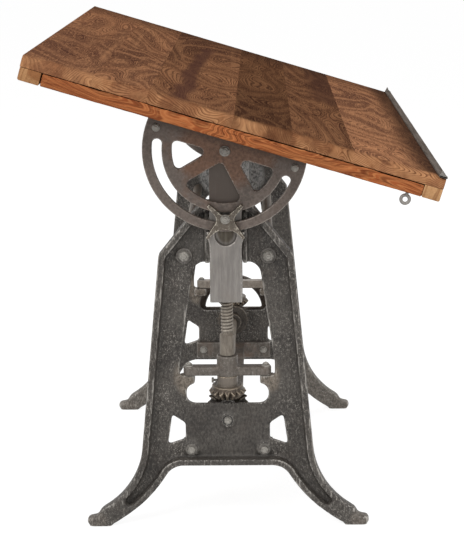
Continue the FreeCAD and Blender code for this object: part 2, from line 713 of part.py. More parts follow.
def bevel_gear(teeth, mate_teeth, bore, hub_end, first_angle):
    # A straight-toothed bevel gear about Z with the apex of its pitch cone at the origin.
    module = number("dims.gear_module")
    pitch_radius = module * teeth / 2
    pitch_height = module * mate_teeth / 2
    cone = math.hypot(pitch_radius, pitch_height)
    lean = math.atan2(pitch_radius, pitch_height)
    shrink = 1 - number("dims.gear_face") / cone
    hub = number("dims.gear_hub_radius")
    back = number("dims.gear_back")

    def rim_point(rise, scale):
        radius = (pitch_radius + rise * module * math.cos(lean)) * scale
        height = (pitch_height - rise * module * math.sin(lean)) * scale
        return radius, height

    root_out = rim_point(-DEDENDUM, 1.0)
    root_in = rim_point(-DEDENDUM, shrink)
    sides = 2 * int(teeth)

    def root_wire(radius, height):
        # Flats of the blank lie under the teeth and under the spaces between them.
        reach = radius / math.cos(math.pi / sides)
        turns = [math.radians(first_angle) + math.pi * (2 * count + 1) / sides for count in range(sides)]
        corners = [Vector(reach * math.cos(turn), reach * math.sin(turn), height) for turn in turns]
        return Part.makePolygon(corners + corners[:1])

    low, high = root_in[1], root_out[1]
    blank = Part.makeLoft([root_wire(*root_in), root_wire(*root_out)], True, True)
    flange = Part.makeLoft([root_wire(*root_out), root_wire(root_out[0], high + back)], True, True)
    boss = Part.makeCylinder(hub, hub_end - high, Vector(0, 0, high))
    opening = Part.makeCylinder(bore, hub_end - low, Vector(0, 0, low))
    slope = math.tan(math.radians(PRESSURE_ANGLE))

    def tooth_wire(scale):
        corners = []
        sunk = -DEDENDUM - TOOTH_SINK
        for rise, sign in ((sunk, 1), (ADDENDUM, 1), (ADDENDUM, -1), (sunk, -1)):
            radius, height = rim_point(rise, scale)
            half = (math.pi / 4 * TOOTH_FILL - rise * slope) * module * scale
            corners.append(Vector(radius, sign * half, height))
        return Part.makePolygon(corners + corners[:1])

    tooth = Part.makeLoft([tooth_wire(1.0), tooth_wire(shrink)], True, True)
    copies = []
    for count in range(int(teeth)):
        copy = tooth.copy()
        copy.rotate(Vector(), Vector(0, 0, 1), first_angle + 360.0 * count / teeth)
        copies.append(copy)
    return blank.fuse([flange, boss, *copies]).cut(opening).removeSplitter()


def screw_gear():
    teeth, mate = number("dims.screw_gear_teeth"), number("dims.shaft_gear_teeth")
    hub_end = number("dims.bar_bottom - dims.sector_gap - dims.shaft_height")
    shape = bevel_gear(teeth, mate, number("dims.journal_radius + dims.bolt_fit"), hub_end, 90.0)
    item = doc.addObject("Part::Feature", "screw_gear_blank")
    item.Shape = shape
    place(item, "0", f"-{SCREW_Y}", "dims.shaft_height")
    hole = rod("set_screw_hole", "dims.set_screw_radius + dims.bolt_fit", "dims.gear_hub_radius",
               ("0", f"-{SCREW_Y}", SET_HEIGHT), Vector(-1, 0, 0))
    return cut("screw_gear", item, [hole])


def set_screw():
    start = ("-(dims.journal_radius + dims.bolt_fit)", f"-{SCREW_Y}", SET_HEIGHT)
    length = "(dims.gear_hub_radius - dims.journal_radius + dims.set_screw_length)"
    shank = rod("set_screw_shank", "dims.set_screw_radius", length, start, Vector(-1, 0, 0))
    head_size = "2 * dims.set_screw_head"
    head = box("set_screw_head",
               (f"-(dims.journal_radius + dims.bolt_fit + {length})", f"-({SCREW_Y} + dims.set_screw_head)",
                f"{SET_HEIGHT} - dims.set_screw_head"),
               ("dims.set_screw_head", head_size, head_size))
    return fuse("set_screw", [shank, head])


def shaft_gear():
    teeth, mate = number("dims.shaft_gear_teeth"), number("dims.screw_gear_teeth")
    hub_end = mate * number("dims.gear_module") / 2 + number("dims.gear_back + dims.shaft_gear_hub")
    half_pitch = 180.0 / teeth
    shape = bevel_gear(teeth, mate, number("dims.shaft_radius + dims.bolt_fit"), hub_end, half_pitch - 90.0)
    shape.rotate(Vector(), Vector(1, 0, 0), -90)
    item = doc.addObject("Part::Feature", "shaft_gear")
    item.Shape = shape
    return place(item, "0", f"-{SCREW_Y}", "dims.shaft_height")


def drive_shaft():
    start = f"-({WEB_IN} - dims.shaft_end_gap)"
    length = f"{WEB_IN} - dims.shaft_end_gap + {WHEEL_Y} + dims.wheel_hub_length / 2 + dims.shaft_end_gap"
    return rod("shaft", "dims.shaft_radius", length, ("0", start, "dims.shaft_height"), INWARD)


def shaft_bearing():
    bolt_height = "(dims.shaft_height - dims.bearing_bolt_drop)"
    foot_low = f"({bolt_height} - dims.bolt_head_radius)"
    foot = box("bearing_foot", ("-dims.bearing_foot_half", f"-{WEB_IN}", foot_low),
               ("2 * dims.bearing_foot_half", "dims.bearing_foot_thick", f"dims.shaft_height - {foot_low}"))
    axis = ("0", f"-{WEB_IN}", "dims.shaft_height")
    hub = rod("bearing_hub", "dims.bearing_radius", "dims.bearing_length", axis, INWARD)
    bore = rod("bearing_bore", "dims.shaft_radius + dims.running_fit", "dims.bearing_length", axis, INWARD)
    hole = rod("bearing_bolt_hole", "dims.bolt_radius + dims.bolt_fit", "dims.bearing_foot_thick",
               ("0", f"-{WEB_IN}", bolt_height), INWARD)
    return cut("bearing", fuse("bearing_solid", [foot, hub]), [bore, hole])


def hoop(name, radius, thick, middle):
    # A ring about Y, with a section of many sides.
    section = doc.addObject("Part::RegularPolygon", name + "_section")
    section.Polygon = RING_SIDES
    section.setExpression("Circumradius", thick)
    place(section, radius)
    item = doc.addObject("Part::Revolution", name)
    item.Source = section
    item.Axis = INWARD
    item.Solid = True
    return place(item, *middle)


def handwheel():
    middle = ("0", WHEEL_Y, "dims.shaft_height")
    rim = hoop("wheel_rim", "dims.wheel_radius", "dims.wheel_rim", middle)
    spokes = [rod("wheel_spoke", "dims.wheel_spoke_radius", "dims.wheel_radius", middle, way)
              for way in (Vector(1, 0, 0), Vector(-1, 0, 0), Vector(0, 0, 1), Vector(0, 0, -1))]
    start = ("0", f"{WHEEL_Y} - dims.wheel_hub_length / 2", "dims.shaft_height")
    hub = rod("wheel_hub", "dims.wheel_hub_radius", "dims.wheel_hub_length", start, INWARD)
    bore = rod("wheel_bore", "dims.shaft_radius + dims.bolt_fit", "dims.wheel_hub_length", start, INWARD)
    return cut("wheel", fuse("wheel_solid", [rim, *spokes, hub]), [bore])


def polar(radius, angle, side):
    # A point at an angle from straight down, on the right (side 1) or left (side -1).
    return f"{side} * ({radius}) * sin({angle})", f"-({radius}) * cos({angle})"


def sector():
    edge = "sqrt(dims.sector_radius ^ 2 - dims.sector_rise ^ 2)"
    disc = plate("sector_disc", SECTOR_BACK, "dims.sector_thick", [
        (edge, "dims.sector_rise", "dims.sector_radius", 1),
        ("0", "-dims.sector_radius", "dims.sector_radius", 1),
        (f"-{edge}", "dims.sector_rise"),
    ])
    half = "dims.slot_width / 2"
    outer, inner = f"(dims.slot_radius + {half})", f"(dims.slot_radius - {half})"
    angle = "dims.slot_half_angle"
    tips = [(f"{side} * (dims.slot_radius * sin({angle}) + {half} * cos({angle}))",
             f"-dims.slot_radius * cos({angle}) + {half} * sin({angle})") for side in (1, -1)]
    slot = [(*polar(outer, angle, 1), outer, 1), (*polar(outer, angle, -1), half, 1), (*tips[1], half, 1),
            (*polar(inner, angle, -1), inner, -1), (*polar(inner, angle, 1), half, 1), (*tips[0], half, 1)]
    lean = "dims.spoke_angle"
    reach = "sqrt(dims.sector_window_radius ^ 2 - dims.spoke_half ^ 2)"
    top = "-dims.sector_window_top"
    ring = "dims.sector_window_radius"

    def spoke_end(side):
        return (f"({side} * dims.spoke_half * sin({lean}) + {reach} * cos({lean}))",
                f"({side} * dims.spoke_half * cos({lean}) - {reach} * sin({lean}))")

    right = [(f"(dims.spoke_half + dims.sector_window_top * cos({lean})) / sin({lean})", top),
             (f"sqrt({ring} ^ 2 - dims.sector_window_top ^ 2)", top, ring, 1),
             spoke_end(1)]
    left = [(f"-{right[0][0]}", top), (f"-{right[2][0]}", right[2][1], ring, 1), (f"-{right[1][0]}", top)]
    low_x, low_z = spoke_end(-1)
    middle = [("0", f"-dims.spoke_half / cos({lean})"), (low_x, low_z, ring, 1), (f"-{low_x}", low_z)]
    openings = sketch_on(disc, "sector_openings", "XZ_Plane", SECTOR_BACK, [slot, right, left, middle])
    pocket = disc.newObject("PartDesign::Pocket", "sector_pocket")
    pocket.Profile = openings
    pocket.Type = "ThroughAll"
    pocket.SideType = "Symmetric"
    whole = disc.Shape.Volume
    doc.recompute()
    if not disc.Shape.Volume < whole:
        raise RuntimeError("the sector's openings cut nothing")
    limit = number(ring) + number("dims.slide_gap")
    corners = []
    for count, edge_shape in enumerate(pocket.Shape.Edges, start=1):
        ends = [vertex.Point for vertex in edge_shape.Vertexes]
        across = len(ends) == 2 and abs(ends[0].y - ends[1].y) > number("dims.sector_thick") / 2
        if across and math.hypot(ends[0].x, ends[0].z) < limit:
            corners.append(f"Edge{count}")
    fillet = disc.newObject("PartDesign::Fillet", "sector_fillet")
    fillet.Base = (pocket, corners)
    fillet.setExpression("Radius", "dims.sector_window_corner")
    doc.recompute()
    holes = [rod("sector_pivot_hole", "dims.pivot_radius + dims.pivot_fit", "dims.sector_thick",
                 ("0", f"-{SECTOR_BACK}", "0"), OUTWARD)]
    for x in pair("dims.sector_bolt_half"):
        holes.append(rod("sector_bolt_hole", "dims.sector_bolt_radius + dims.bolt_fit", "dims.sector_thick",
                         (x, f"-{SECTOR_BACK}", "dims.sector_bolt_rise"), OUTWARD))
    return cut("sector", disc, holes)


def top_bracket():
    far = "(dims.sector_bolt_half + dims.bracket_tab)"
    near = "(dims.sector_bolt_half - dims.bracket_tab)"
    leg = plate("bracket_leg", BRACKET_BACK, "dims.bracket_thick", both_sides([
        (far, "dims.board_rise"),
        (far, "-dims.bracket_tab_low"),
        (near, "-dims.bracket_tab_low"),
        (near, "dims.bracket_clear"),
    ]))
    shelf = box("bracket_shelf", (f"-{far}", f"-{SECTOR_BACK}", "dims.board_rise - dims.bracket_thick"),
                (f"2 * {far}", "dims.bracket_leg", "dims.bracket_thick"))
    holes = [rod("bracket_thread", "dims.sector_bolt_radius + dims.bolt_fit", "dims.bracket_thick",
                 (x, f"-{SECTOR_BACK}", "dims.sector_bolt_rise"), INWARD)
             for x in pair("dims.sector_bolt_half")]
    return cut("top_bracket", fuse("top_bracket_solid", [leg, shelf]), holes)


def sector_bolts():
    bolts = []
    length = "dims.sector_thick + dims.bracket_thick"
    for x in pair("dims.sector_bolt_half"):
        for end, way in (("-1", INWARD), ("1", OUTWARD)):
            start = (x, f"{end} * {POST_FRONT}", "dims.sector_bolt_rise")
            bolts.append(bolt("sector_bolt", "dims.sector_bolt_radius", length, "dims.sector_bolt_head",
                              "dims.sector_bolt_head_height", start, way))
    return group("sector_bolt_set", bolts)


def top_boards():
    width = "(dims.top_depth - dims.front_rail_width)"
    edges = [sum(BOARD_SHARES[:count]) for count in range(len(BOARD_SHARES) + 1)] + [1.0]
    for count, (low, high) in enumerate(zip(edges, edges[1:]), start=1):
        board = box("board",
                    (f"-dims.top_depth / 2 + {low} * {width}", "-dims.top_length / 2", "dims.board_rise"),
                    (f"{high - low} * {width}", "dims.top_length", "dims.board_thick"))
        top_node(f"top_board_{count}", group("board_piece", [board]))


def steel_ledge():
    # A flat strip along the low edge of the top, with a tapered stop standing at each end.
    right = "(dims.top_depth / 2 + dims.ledge_overhang)"
    left = f"({right} - dims.ledge_width)"
    seat = "(dims.board_rise + dims.board_thick)"
    face = f"({seat} + dims.ledge_thick)"
    strip = box("ledge_strip", (left, "-dims.top_length / 2", seat),
                ("dims.ledge_width", "dims.top_length", "dims.ledge_thick"))
    stop = plate("ledge_stop", "(dims.top_length / 2 - dims.ledge_stop_thick)", "dims.ledge_stop_thick", [
        (left, seat),
        (f"{left} + dims.ledge_stop_lean", f"{face} + dims.ledge_stop_height"),
        (right, face),
        (right, seat),
    ])
    return fuse("ledge_piece", [strip, stop, mirror("ledge_stop_far", stop)])


def top_timber():
    under = "(dims.board_rise - dims.rail_depth)"
    inner_left = "(-dims.top_depth / 2 + dims.back_rail_width)"
    cleat_size = (f"{CLEAT_RIGHT} - {inner_left}", "dims.cleat_width", "dims.rail_depth")
    near = box("near_cleat_blank", (inner_left, "-dims.top_length / 2", under), cleat_size)
    eye_hole = rod("eye_hole", "dims.eye_wire + dims.bolt_fit", "dims.eye_shank", (EYE_X, EYE_Y, under))
    top_node("near_end_cleat", cut("near_cleat", near, [eye_hole]))
    far = box("far_cleat_blank", (inner_left, "dims.top_length / 2 - dims.cleat_width", under), cleat_size)
    top_node("far_end_cleat", group("far_cleat", [far]))
    back = box("back_rail_blank", ("-dims.top_depth / 2", "-dims.top_length / 2", under),
               ("dims.back_rail_width", "dims.top_length", "dims.rail_depth"))
    top_node("back_rail", group("back_rail_piece", [back]))
    front = box("front_rail_blank", (CLEAT_RIGHT, "-dims.top_length / 2", under),
                ("dims.front_rail_width", "dims.top_length", "dims.rail_depth + dims.board_thick"))
    top_node("front_rail", group("front_rail_piece", [front]))
    top_node("steel_ledge", steel_ledge())
    ring = hoop("eye_ring", "dims.eye_radius", "dims.eye_wire", (EYE_X, EYE_Y, f"{under} - dims.eye_drop"))
    stem_low = f"({under} - dims.eye_drop + dims.eye_radius)"
    stem_length = f"{under} + dims.eye_shank - {stem_low}"
    stem = rod("eye_stem", "dims.eye_wire", stem_length, (EYE_X, EYE_Y, stem_low))
    top_node("screw_eye", fuse("eye", [ring, stem]))


def frame_bolt_sets():
    head = "dims.boss_height + dims.casting_wall"
    ties = [(x, TIE_HEIGHT) for x in pair(TIE_HALF)]
    base_node("tie_bolts", frame_bolts("tie_bolt_set", ties, head + " + dims.tie_thread"))
    feet = [(x, "dims.stretcher_bolt_height") for x in pair("dims.stretcher_bolt_half")]
    through = head + " + dims.stretcher_flange_thick + dims.bolt_head_height + dims.bolt_radius / 2"
    base_node("stretcher_bolts", frame_bolts("stretcher_bolt_set", feet, through))
    base_node("stretcher_nuts", stretcher_nuts())
    bearing = [("0", "dims.shaft_height - dims.bearing_bolt_drop")]
    base_node("bearing_bolts", frame_bolts("bearing_bolt_set", bearing, head + " + dims.bearing_foot_thick"))
    base_node("bracket_bolts", bracket_bolts())


def build():
    near_frame = base_node("near_end_frame", end_frame())
    node("far_end_frame", far_frame(near_frame))
    base_node("cross_stretcher", stretcher())
    base_node("tie_rods", tie_rods())
    frame_bolt_sets()
    ends = (("screw_bracket", screw_bracket), ("shaft_bearing", shaft_bearing), ("lead_screw", lead_screw),
            ("screw_gear", screw_gear), ("set_screw", set_screw), ("shaft_gear", shaft_gear), ("post", post),
            ("lift_nut", lift_nut), ("clamp_head", clamp_head))
    for label, make in ends:
        near = base_node("near_" + label, group(label + "_near", [make()]))
        far_node("far_" + label, near)
    for label, make in (("clamp_bolt", clamp_bolt), ("pivot_bolt", pivot_bolt), ("pivot_nut", pivot_nut)):
        near = make()
        base_node(label + "s", group(label + "_set", [near, mirror(label + "_far", near)]))
    base_node("drive_shaft", group("shaft_piece", [drive_shaft()]))
    base_node("handwheel", handwheel())
    for label, make in (("sector", sector), ("top_bracket", top_bracket)):
        near = top_node("near_" + label, make())
        far_node("far_" + label, near)
    top_node("sector_bolts", sector_bolts())
    top_boards()
    top_timber()


build()
doc.recompute()
for item in doc.Objects:
    if "Invalid" in item.State or "Error" in item.State:
        raise RuntimeError(f"{item.Label} failed to build")
for item in nodes:
    if item.Shape.isNull() or not item.Shape.isValid():
        raise RuntimeError(f"{item.Label} has a bad shape")
os.makedirs("parts", exist_ok=True)
for item in nodes:
    item.Shape.exportStep(f"parts/{item.Label}.step")
    print(item.Label, len(item.Shape.Solids), round(item.Shape.Volume))
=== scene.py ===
import json
import math

import bmesh
import bpy
import numpy as np
from mathutils import Matrix, Vector, noise


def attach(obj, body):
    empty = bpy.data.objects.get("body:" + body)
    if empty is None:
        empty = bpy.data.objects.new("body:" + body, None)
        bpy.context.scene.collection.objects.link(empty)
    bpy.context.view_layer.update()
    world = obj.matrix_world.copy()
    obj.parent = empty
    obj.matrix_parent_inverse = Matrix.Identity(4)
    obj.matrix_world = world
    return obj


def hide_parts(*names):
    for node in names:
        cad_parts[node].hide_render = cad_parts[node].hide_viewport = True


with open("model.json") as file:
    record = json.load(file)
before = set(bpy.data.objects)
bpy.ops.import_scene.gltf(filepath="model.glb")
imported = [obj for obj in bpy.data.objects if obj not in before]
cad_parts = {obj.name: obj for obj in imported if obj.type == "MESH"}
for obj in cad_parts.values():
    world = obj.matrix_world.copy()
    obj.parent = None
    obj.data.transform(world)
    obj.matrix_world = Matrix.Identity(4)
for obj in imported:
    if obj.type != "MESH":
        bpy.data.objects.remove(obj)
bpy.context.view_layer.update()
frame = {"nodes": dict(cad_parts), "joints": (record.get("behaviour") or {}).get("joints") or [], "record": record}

nodes = frame["nodes"]
record = frame["record"]
scene = bpy.context.scene
bodyOf = {name: body for body, members in record["behaviour"]["bodies"].items() for name in members}
slotOf = {part["node"]: part["material_slot"] for part in record["subparts"]}
pivot = Vector([joint for joint in frame["joints"] if joint["name"] == "top_tilt"][0]["pos_m"])
middleX = pivot.x
restTilt = math.radians(16.5)  # the lean of the top in the photograph
topPlace = Matrix.Translation(pivot) @ Matrix.Rotation(restTilt, 4, "Y")
quarter = math.pi / 2
mergeGap = 1e-6
raySamples = 8  # for the rays that find edges and hollows
print("frame loaded:", len(nodes), "nodes")


class Wire:
    def __init__(self, socket):
        self.socket = socket
        self.tree = socket.id_data

    def math(self, operation, *terms):
        node = self.tree.nodes.new("ShaderNodeMath")
        node.operation = operation
        for socket, term in zip(node.inputs, terms):
            plug(socket, term)
        return Wire(node.outputs[0])

    def other(self, name):
        return Wire(self.socket.node.outputs[name])

    def sine(self):
        return self.math("SINE", self)

    def larger(self, other):
        return self.math("MAXIMUM", self, other)

    def size(self):
        return self.math("ABSOLUTE", self)

    def drift(self, amount):  # a noise value's swing about its middle
        return (self - 0.5) * amount

    def __add__(self, other):
        return self.math("ADD", self, other)

    def __radd__(self, other):
        return self.math("ADD", other, self)

    def __sub__(self, other):
        return self.math("SUBTRACT", self, other)

    def __rsub__(self, other):
        return self.math("SUBTRACT", other, self)

    def __mul__(self, other):
        return self.math("MULTIPLY", self, other)

    def __rmul__(self, other):
        return self.math("MULTIPLY", other, self)


def plug(socket, value):
    if isinstance(value, Wire):
        value.tree.links.new(value.socket, socket)
    elif isinstance(value, (tuple, list)) and len(value) == 3 and socket.type == "RGBA":
        socket.default_value = (*value, 1.0)
    else:
        socket.default_value = value


class Tree:
    def __init__(self, tree):
        self.tree = tree
        tree.nodes.clear()

    def add(self, kind, settings=None, sockets=None, out=0):
        node = self.tree.nodes.new(kind)
        for key, value in (settings or {}).items():
            setattr(node, key, value)
        for key, value in (sockets or {}).items():
            plug(node.inputs[key], value)
        return Wire(node.outputs[out]) if len(node.outputs) else node


class Finish(Tree):
    def __init__(self, name):
        self.material = bpy.data.materials.new(name)
        self.material.use_nodes = True
        super().__init__(self.material.node_tree)
        self.shader = self.add("ShaderNodeBsdfPrincipled").socket.node
        self.output = self.add("ShaderNodeOutputMaterial", {}, {"Surface": Wire(self.shader.outputs[0])})

    def place(self, turn=(0.0, 0.0, 0.0), shift=(0.0, 0.0, 0.0)):
        spot = self.add("ShaderNodeTexCoord", out="Object")
        return self.add("ShaderNodeMapping", {}, {"Vector": spot, "Rotation": turn, "Location": shift})

    def scaled(self, spot, scale, shift=(0.0, 0.0, 0.0)):
        return self.add("ShaderNodeMapping", {}, {"Vector": spot, "Scale": scale, "Location": shift})

    def speck(self, spot, scale, detail, rough, distort=0.0):
        return self.add("ShaderNodeTexNoise", {}, {"Vector": spot, "Scale": scale, "Detail": detail,
                                                   "Roughness": rough, "Distortion": distort})

    def step(self, value, low, high):
        return self.add("ShaderNodeMapRange", {"interpolation_type": "SMOOTHSTEP"},
                        {"Value": value, 1: low, 2: high})

    def blend(self, share, first, second):
        return self.add("ShaderNodeMix", {"data_type": "RGBA", "blend_type": "MIX"},
                        {0: share, 6: first, 7: second}, 2)

    def edges(self, reach):
        settings = {"inside": True, "only_local": True, "samples": raySamples}
        return 1.0 - self.add("ShaderNodeAmbientOcclusion", settings, {"Distance": reach}, "AO")

    def hollows(self, reach):
        settings = {"samples": raySamples}
        return 1.0 - self.add("ShaderNodeAmbientOcclusion", settings, {"Distance": reach}, "AO")

    def bump(self, height, depth):
        return self.add("ShaderNodeBump", {}, {"Height": height, "Distance": depth, "Strength": 1.0})

    def set(self, **values):
        names = {"colour": "Base Color", "rough": "Roughness", "metal": "Metallic", "normal": "Normal",
                 "spec": "Specular IOR Level"}
        for key, value in values.items():
            plug(self.shader.inputs[names[key]], value)
        return self.material


# iron and steel: cloudy tone, casting grain, clustered bright flecks, edge wear with painted highlights,
# grime and painted shade in the corners, and patches of painted light and shade; a noise pair is detail and
# roughness, a fade is where a mask starts and where it is full
ironPattern = {
    "cloudNoise": (4.0, 0.62), "grainNoise": (4.0, 0.75), "sandNoise": (2.0, 0.6), "rustNoise": (5.0, 0.65),
    "clusterNoise": (4.0, 0.65), "rubbedNoise": (3.0, 0.6),
    "clusterScale": 2.2, "clusterFade": (0.40, 0.66), "clusterLeast": 0.3, "clusterRest": 0.7,
    "fleckSand": 0.55, "fleckGrain": 0.45, "fleckBand": 0.09, "rustFade": (0.50, 0.74),
    "hollowReach": 3.5, "hollowFade": (0.22, 0.85), "dipDrift": 0.25, "dipFade": (0.06, 0.42),
    "rubbedScale": 1.3, "edgeDrift": 0.5, "edgeBand": 0.26,
    "toneCloud": 0.35, "toneGrain": 0.65, "toneFade": (0.36, 0.62),
    "calmDrift": 0.06, "calmBand": 0.03, "farFade": (0.0, 0.1), "markedPatchFade": (0.55, 1.15),
    "shadeShare": 0.85, "underDrift": 0.02, "skinGrain": 0.55, "skinSand": 0.3, "skinCloud": 0.6,
    "roughGrain": 0.3, "roughWorn": 0.15, "roughFleck": 0.08}


def ironFinish(name, look):
    p = ironPattern
    f = Finish(name)
    spot = f.place()
    streaked = f.scaled(spot, look["streak"])
    cloud = f.speck(spot, look["cloud"], *p["cloudNoise"])
    grain = f.speck(streaked, look["grain"], *p["grainNoise"])
    sand = f.speck(streaked, look["sand"], *p["sandNoise"])
    cluster = f.speck(streaked, look["cloud"] * p["clusterScale"], *p["clusterNoise"])
    cluster = p["clusterLeast"] + f.step(cluster, *p["clusterFade"]) * p["clusterRest"]
    fleck = sand * p["fleckSand"] + grain * p["fleckGrain"]
    fleck = f.step(fleck, look["fleckFrom"], look["fleckFrom"] + p["fleckBand"]) * cluster
    rust = f.step(f.speck(spot, look["rustSize"], *p["rustNoise"]), *p["rustFade"])
    if look["rays"]:
        convex = f.edges(look["edge"])
        hollow = f.step(f.hollows(look["edge"] * p["hollowReach"]), *p["hollowFade"])
    else:
        convex = f.add("ShaderNodeAttribute", {"attribute_name": "convex"}, {}, "Fac")
        hollow = f.step(0.0 - convex + cloud.drift(p["dipDrift"]), *p["dipFade"])
    rubbed = f.speck(f.scaled(spot, look["rubbing"]), look["grain"] * p["rubbedScale"], *p["rubbedNoise"])
    worn = convex + rubbed.drift(look["ragged"]) + cloud.drift(p["edgeDrift"])
    worn = f.step(worn, look["edgeFrom"], look["edgeFrom"] + p["edgeBand"])
    mottled = f.step(cloud * p["toneCloud"] + grain * p["toneGrain"], *p["toneFade"])
    tone = f.blend(mottled, look["dark"], look["mid"])
    axes = f.add("ShaderNodeSeparateXYZ", {}, {"Vector": spot})
    if "calm" in look:  # fewer flecks low in the middle of the near frame
        calm = look["calm"]
        sideways = (axes - middleX).size() + cloud.drift(p["calmDrift"])
        middle = 1.0 - f.step(sideways, calm["wide"], calm["wide"] + p["calmBand"])
        height = axes.other("Z") + cloud.drift(p["calmDrift"])
        below = 1.0 - f.step(height, calm["top"], calm["top"] + p["calmBand"])
        nearSide = 1.0 - f.step(axes.other("Y"), *p["farFade"])
        fleck = fleck * (1.0 - middle * below * nearSide * calm["share"])
    # stains, and patches of painted light and painted shade
    for markedPatch in look.get("stainsAndPaintedLight", ()):
        across = ((axes - middleX).size() - markedPatch["x"]) * (1.0 / markedPatch["wide"])
        up = (axes.other("Z") - markedPatch["z"]) * (1.0 / markedPatch["high"])
        reach = across * across + up * up + grain.drift(markedPatch["ragged"]) + cloud.drift(markedPatch["ragged"])
        share = (1.0 - f.step(reach, *p["markedPatchFade"])) * markedPatch["share"]
        if markedPatch.get("farOnly"):
            share = share * f.step(axes.other("Y"), *p["farFade"])
        mottled = f.blend(f.step(grain, *p["toneFade"]), markedPatch["dark"], markedPatch["tone"])
        tone = f.blend(share, tone, mottled)
    tone = f.blend(fleck * look["fleckAmount"], tone, look["light"])
    tone = f.blend(rust * look["rustAmount"], tone, look["rust"])
    # grime and painted shade in the hollows and corners
    tone = f.blend(hollow * look["dirt"], tone, look["grime"])
    if "shade" in look:  # another tone above a height: painted shade on the post's upper part under the sector, the gear hub's own lighter tone
        above = f.step(axes.other("Z"), look["shadeFrom"], look["shadeFrom"] + look["shadeBand"])
        tone = f.blend(above * p["shadeShare"], tone, look["shade"])
    # edge wear, with painted highlights along the edges
    tone = f.blend(worn * look["wear"], tone, look["bright"])
    if "under" in look:  # painted shadow close under the tilted top
        under = look["under"]
        rise = (axes - middleX) * math.sin(restTilt) + (axes.other("Z") - pivot.z) * math.cos(restTilt)
        close = f.step(rise + cloud.drift(p["underDrift"]), under["low"], under["high"])
        tone = f.blend(close * under["share"], tone, under["tone"])
    skin = f.bump(grain * p["skinGrain"] + sand * p["skinSand"] + cloud * p["skinCloud"], look["depth"])
    rough = look["rough"] + grain * p["roughGrain"] - worn * p["roughWorn"] - fleck * p["roughFleck"]
    return f.set(colour=tone, rough=rough, metal=look["metal"], normal=skin, spec=look["spec"])


# stains, and patches of painted light and painted shade: x is the distance to either side of the middle
hubStain = {"x": 0.0, "z": 0.922, "wide": 0.125, "high": 0.085, "ragged": 0.9, "share": 0.88,
            "dark": (0.104, 0.053, 0.031), "tone": (0.205, 0.106, 0.062)}
barEndStain = {"x": 0.098, "z": 0.368, "wide": 0.034, "high": 0.044, "ragged": 1.8, "share": 0.75,
               "dark": (0.085, 0.068, 0.052), "tone": (0.235, 0.195, 0.152)}
# painted light: a pale patch high on the far frame's web, where the top shades it
farHeadPaintedLight = {"x": 0.040, "z": 0.700, "wide": 0.055, "high": 0.055, "ragged": 0.8, "share": 0.9,
                "dark": (0.10, 0.10, 0.096), "tone": (0.46, 0.455, 0.44), "farOnly": True}
farFootStain = {"x": 0.250, "z": 0.055, "wide": 0.130, "high": 0.100, "ragged": 0.7, "share": 0.75,
                "dark": (0.088, 0.076, 0.064), "tone": (0.200, 0.178, 0.152), "farOnly": True}
toeStain = {"x": 0.318, "z": 0.016, "wide": 0.028, "high": 0.026, "ragged": 0.9, "share": 0.6,
            "dark": (0.078, 0.065, 0.054), "tone": (0.180, 0.155, 0.130)}
# painted shade in the shallow pocket of the post under the clamp, in dark brown-olive
postPocketShade = {"x": 0.0, "z": 0.736, "wide": 0.0225, "high": 0.036, "ragged": 0.3, "share": 0.95,
             "dark": (0.045, 0.034, 0.022), "tone": (0.098, 0.082, 0.058)}

darkIronLook = {
    "dark": (0.030, 0.026, 0.023), "mid": (0.088, 0.079, 0.071), "light": (0.215, 0.200, 0.182),
    "rust": (0.075, 0.055, 0.042), "grime": (0.018, 0.015, 0.012), "bright": (0.34, 0.32, 0.29),
    "cloud": 9.0, "grain": 150.0, "sand": 380.0, "streak": (1.0, 1.0, 0.62),
    "fleckAmount": 0.95, "fleckFrom": 0.53, "rustSize": 13.0, "rustAmount": 0.22,
    "edge": 0.007, "edgeFrom": 0.26, "wear": 0.62, "ragged": 0.9, "rubbing": (1.0, 1.0, 1.0), "rays": False,
    "dirt": 0.72, "depth": 0.0022, "rough": 0.40, "metal": 0.25, "spec": 0.5}
frameIronLook = {
    **darkIronLook, "dark": (0.024, 0.020, 0.017), "mid": (0.083, 0.074, 0.064), "light": (0.34, 0.315, 0.28),
    "bright": (0.40, 0.375, 0.34), "grain": 200.0, "sand": 520.0, "edgeFrom": 0.22, "wear": 0.80,
    "ragged": 1.1, "rubbing": (1.0, 1.0, 0.14), "calm": {"wide": 0.085, "top": 0.300, "share": 0.8},
    "stainsAndPaintedLight": (barEndStain, farHeadPaintedLight, farFootStain, toeStain)}
sectorIronLook = {
    **darkIronLook, "dark": (0.087, 0.069, 0.057), "mid": (0.170, 0.135, 0.114), "light": (0.20, 0.17, 0.145),
    "rust": (0.190, 0.098, 0.058), "grime": (0.030, 0.022, 0.017), "bright": (0.36, 0.32, 0.28),
    "streak": (1.0, 1.0, 1.0), "fleckAmount": 0.35, "rustAmount": 0.65, "rustSize": 10.0, "depth": 0.0008,
    "wear": 0.60, "edgeFrom": 0.20, "dirt": 0.4, "stainsAndPaintedLight": (hubStain,),
    # under: painted shadow of the tilted top, just below the timber
    "under": {"low": 0.004, "high": 0.027, "share": 0.66, "tone": (0.046, 0.027, 0.018)}}
stretcherIronLook = {
    **darkIronLook, "dark": (0.062, 0.052, 0.044), "mid": (0.135, 0.116, 0.098),
    "rust": (0.210, 0.100, 0.052), "rustAmount": 0.45, "rustSize": 9.0}
wheelIronLook = {
    **darkIronLook, "dark": (0.060, 0.044, 0.034), "mid": (0.125, 0.097, 0.076),
    "rust": (0.150, 0.085, 0.050), "rustAmount": 0.5}
bracketIronLook = {
    **darkIronLook, "dark": (0.064, 0.053, 0.044), "mid": (0.138, 0.119, 0.101),
    "rust": (0.135, 0.086, 0.056), "rustAmount": 0.45, "depth": 0.0009, "bright": (0.40, 0.38, 0.34)}
farBracketLook = {**bracketIronLook, "dark": (0.145, 0.121, 0.098), "mid": (0.292, 0.256, 0.215)}
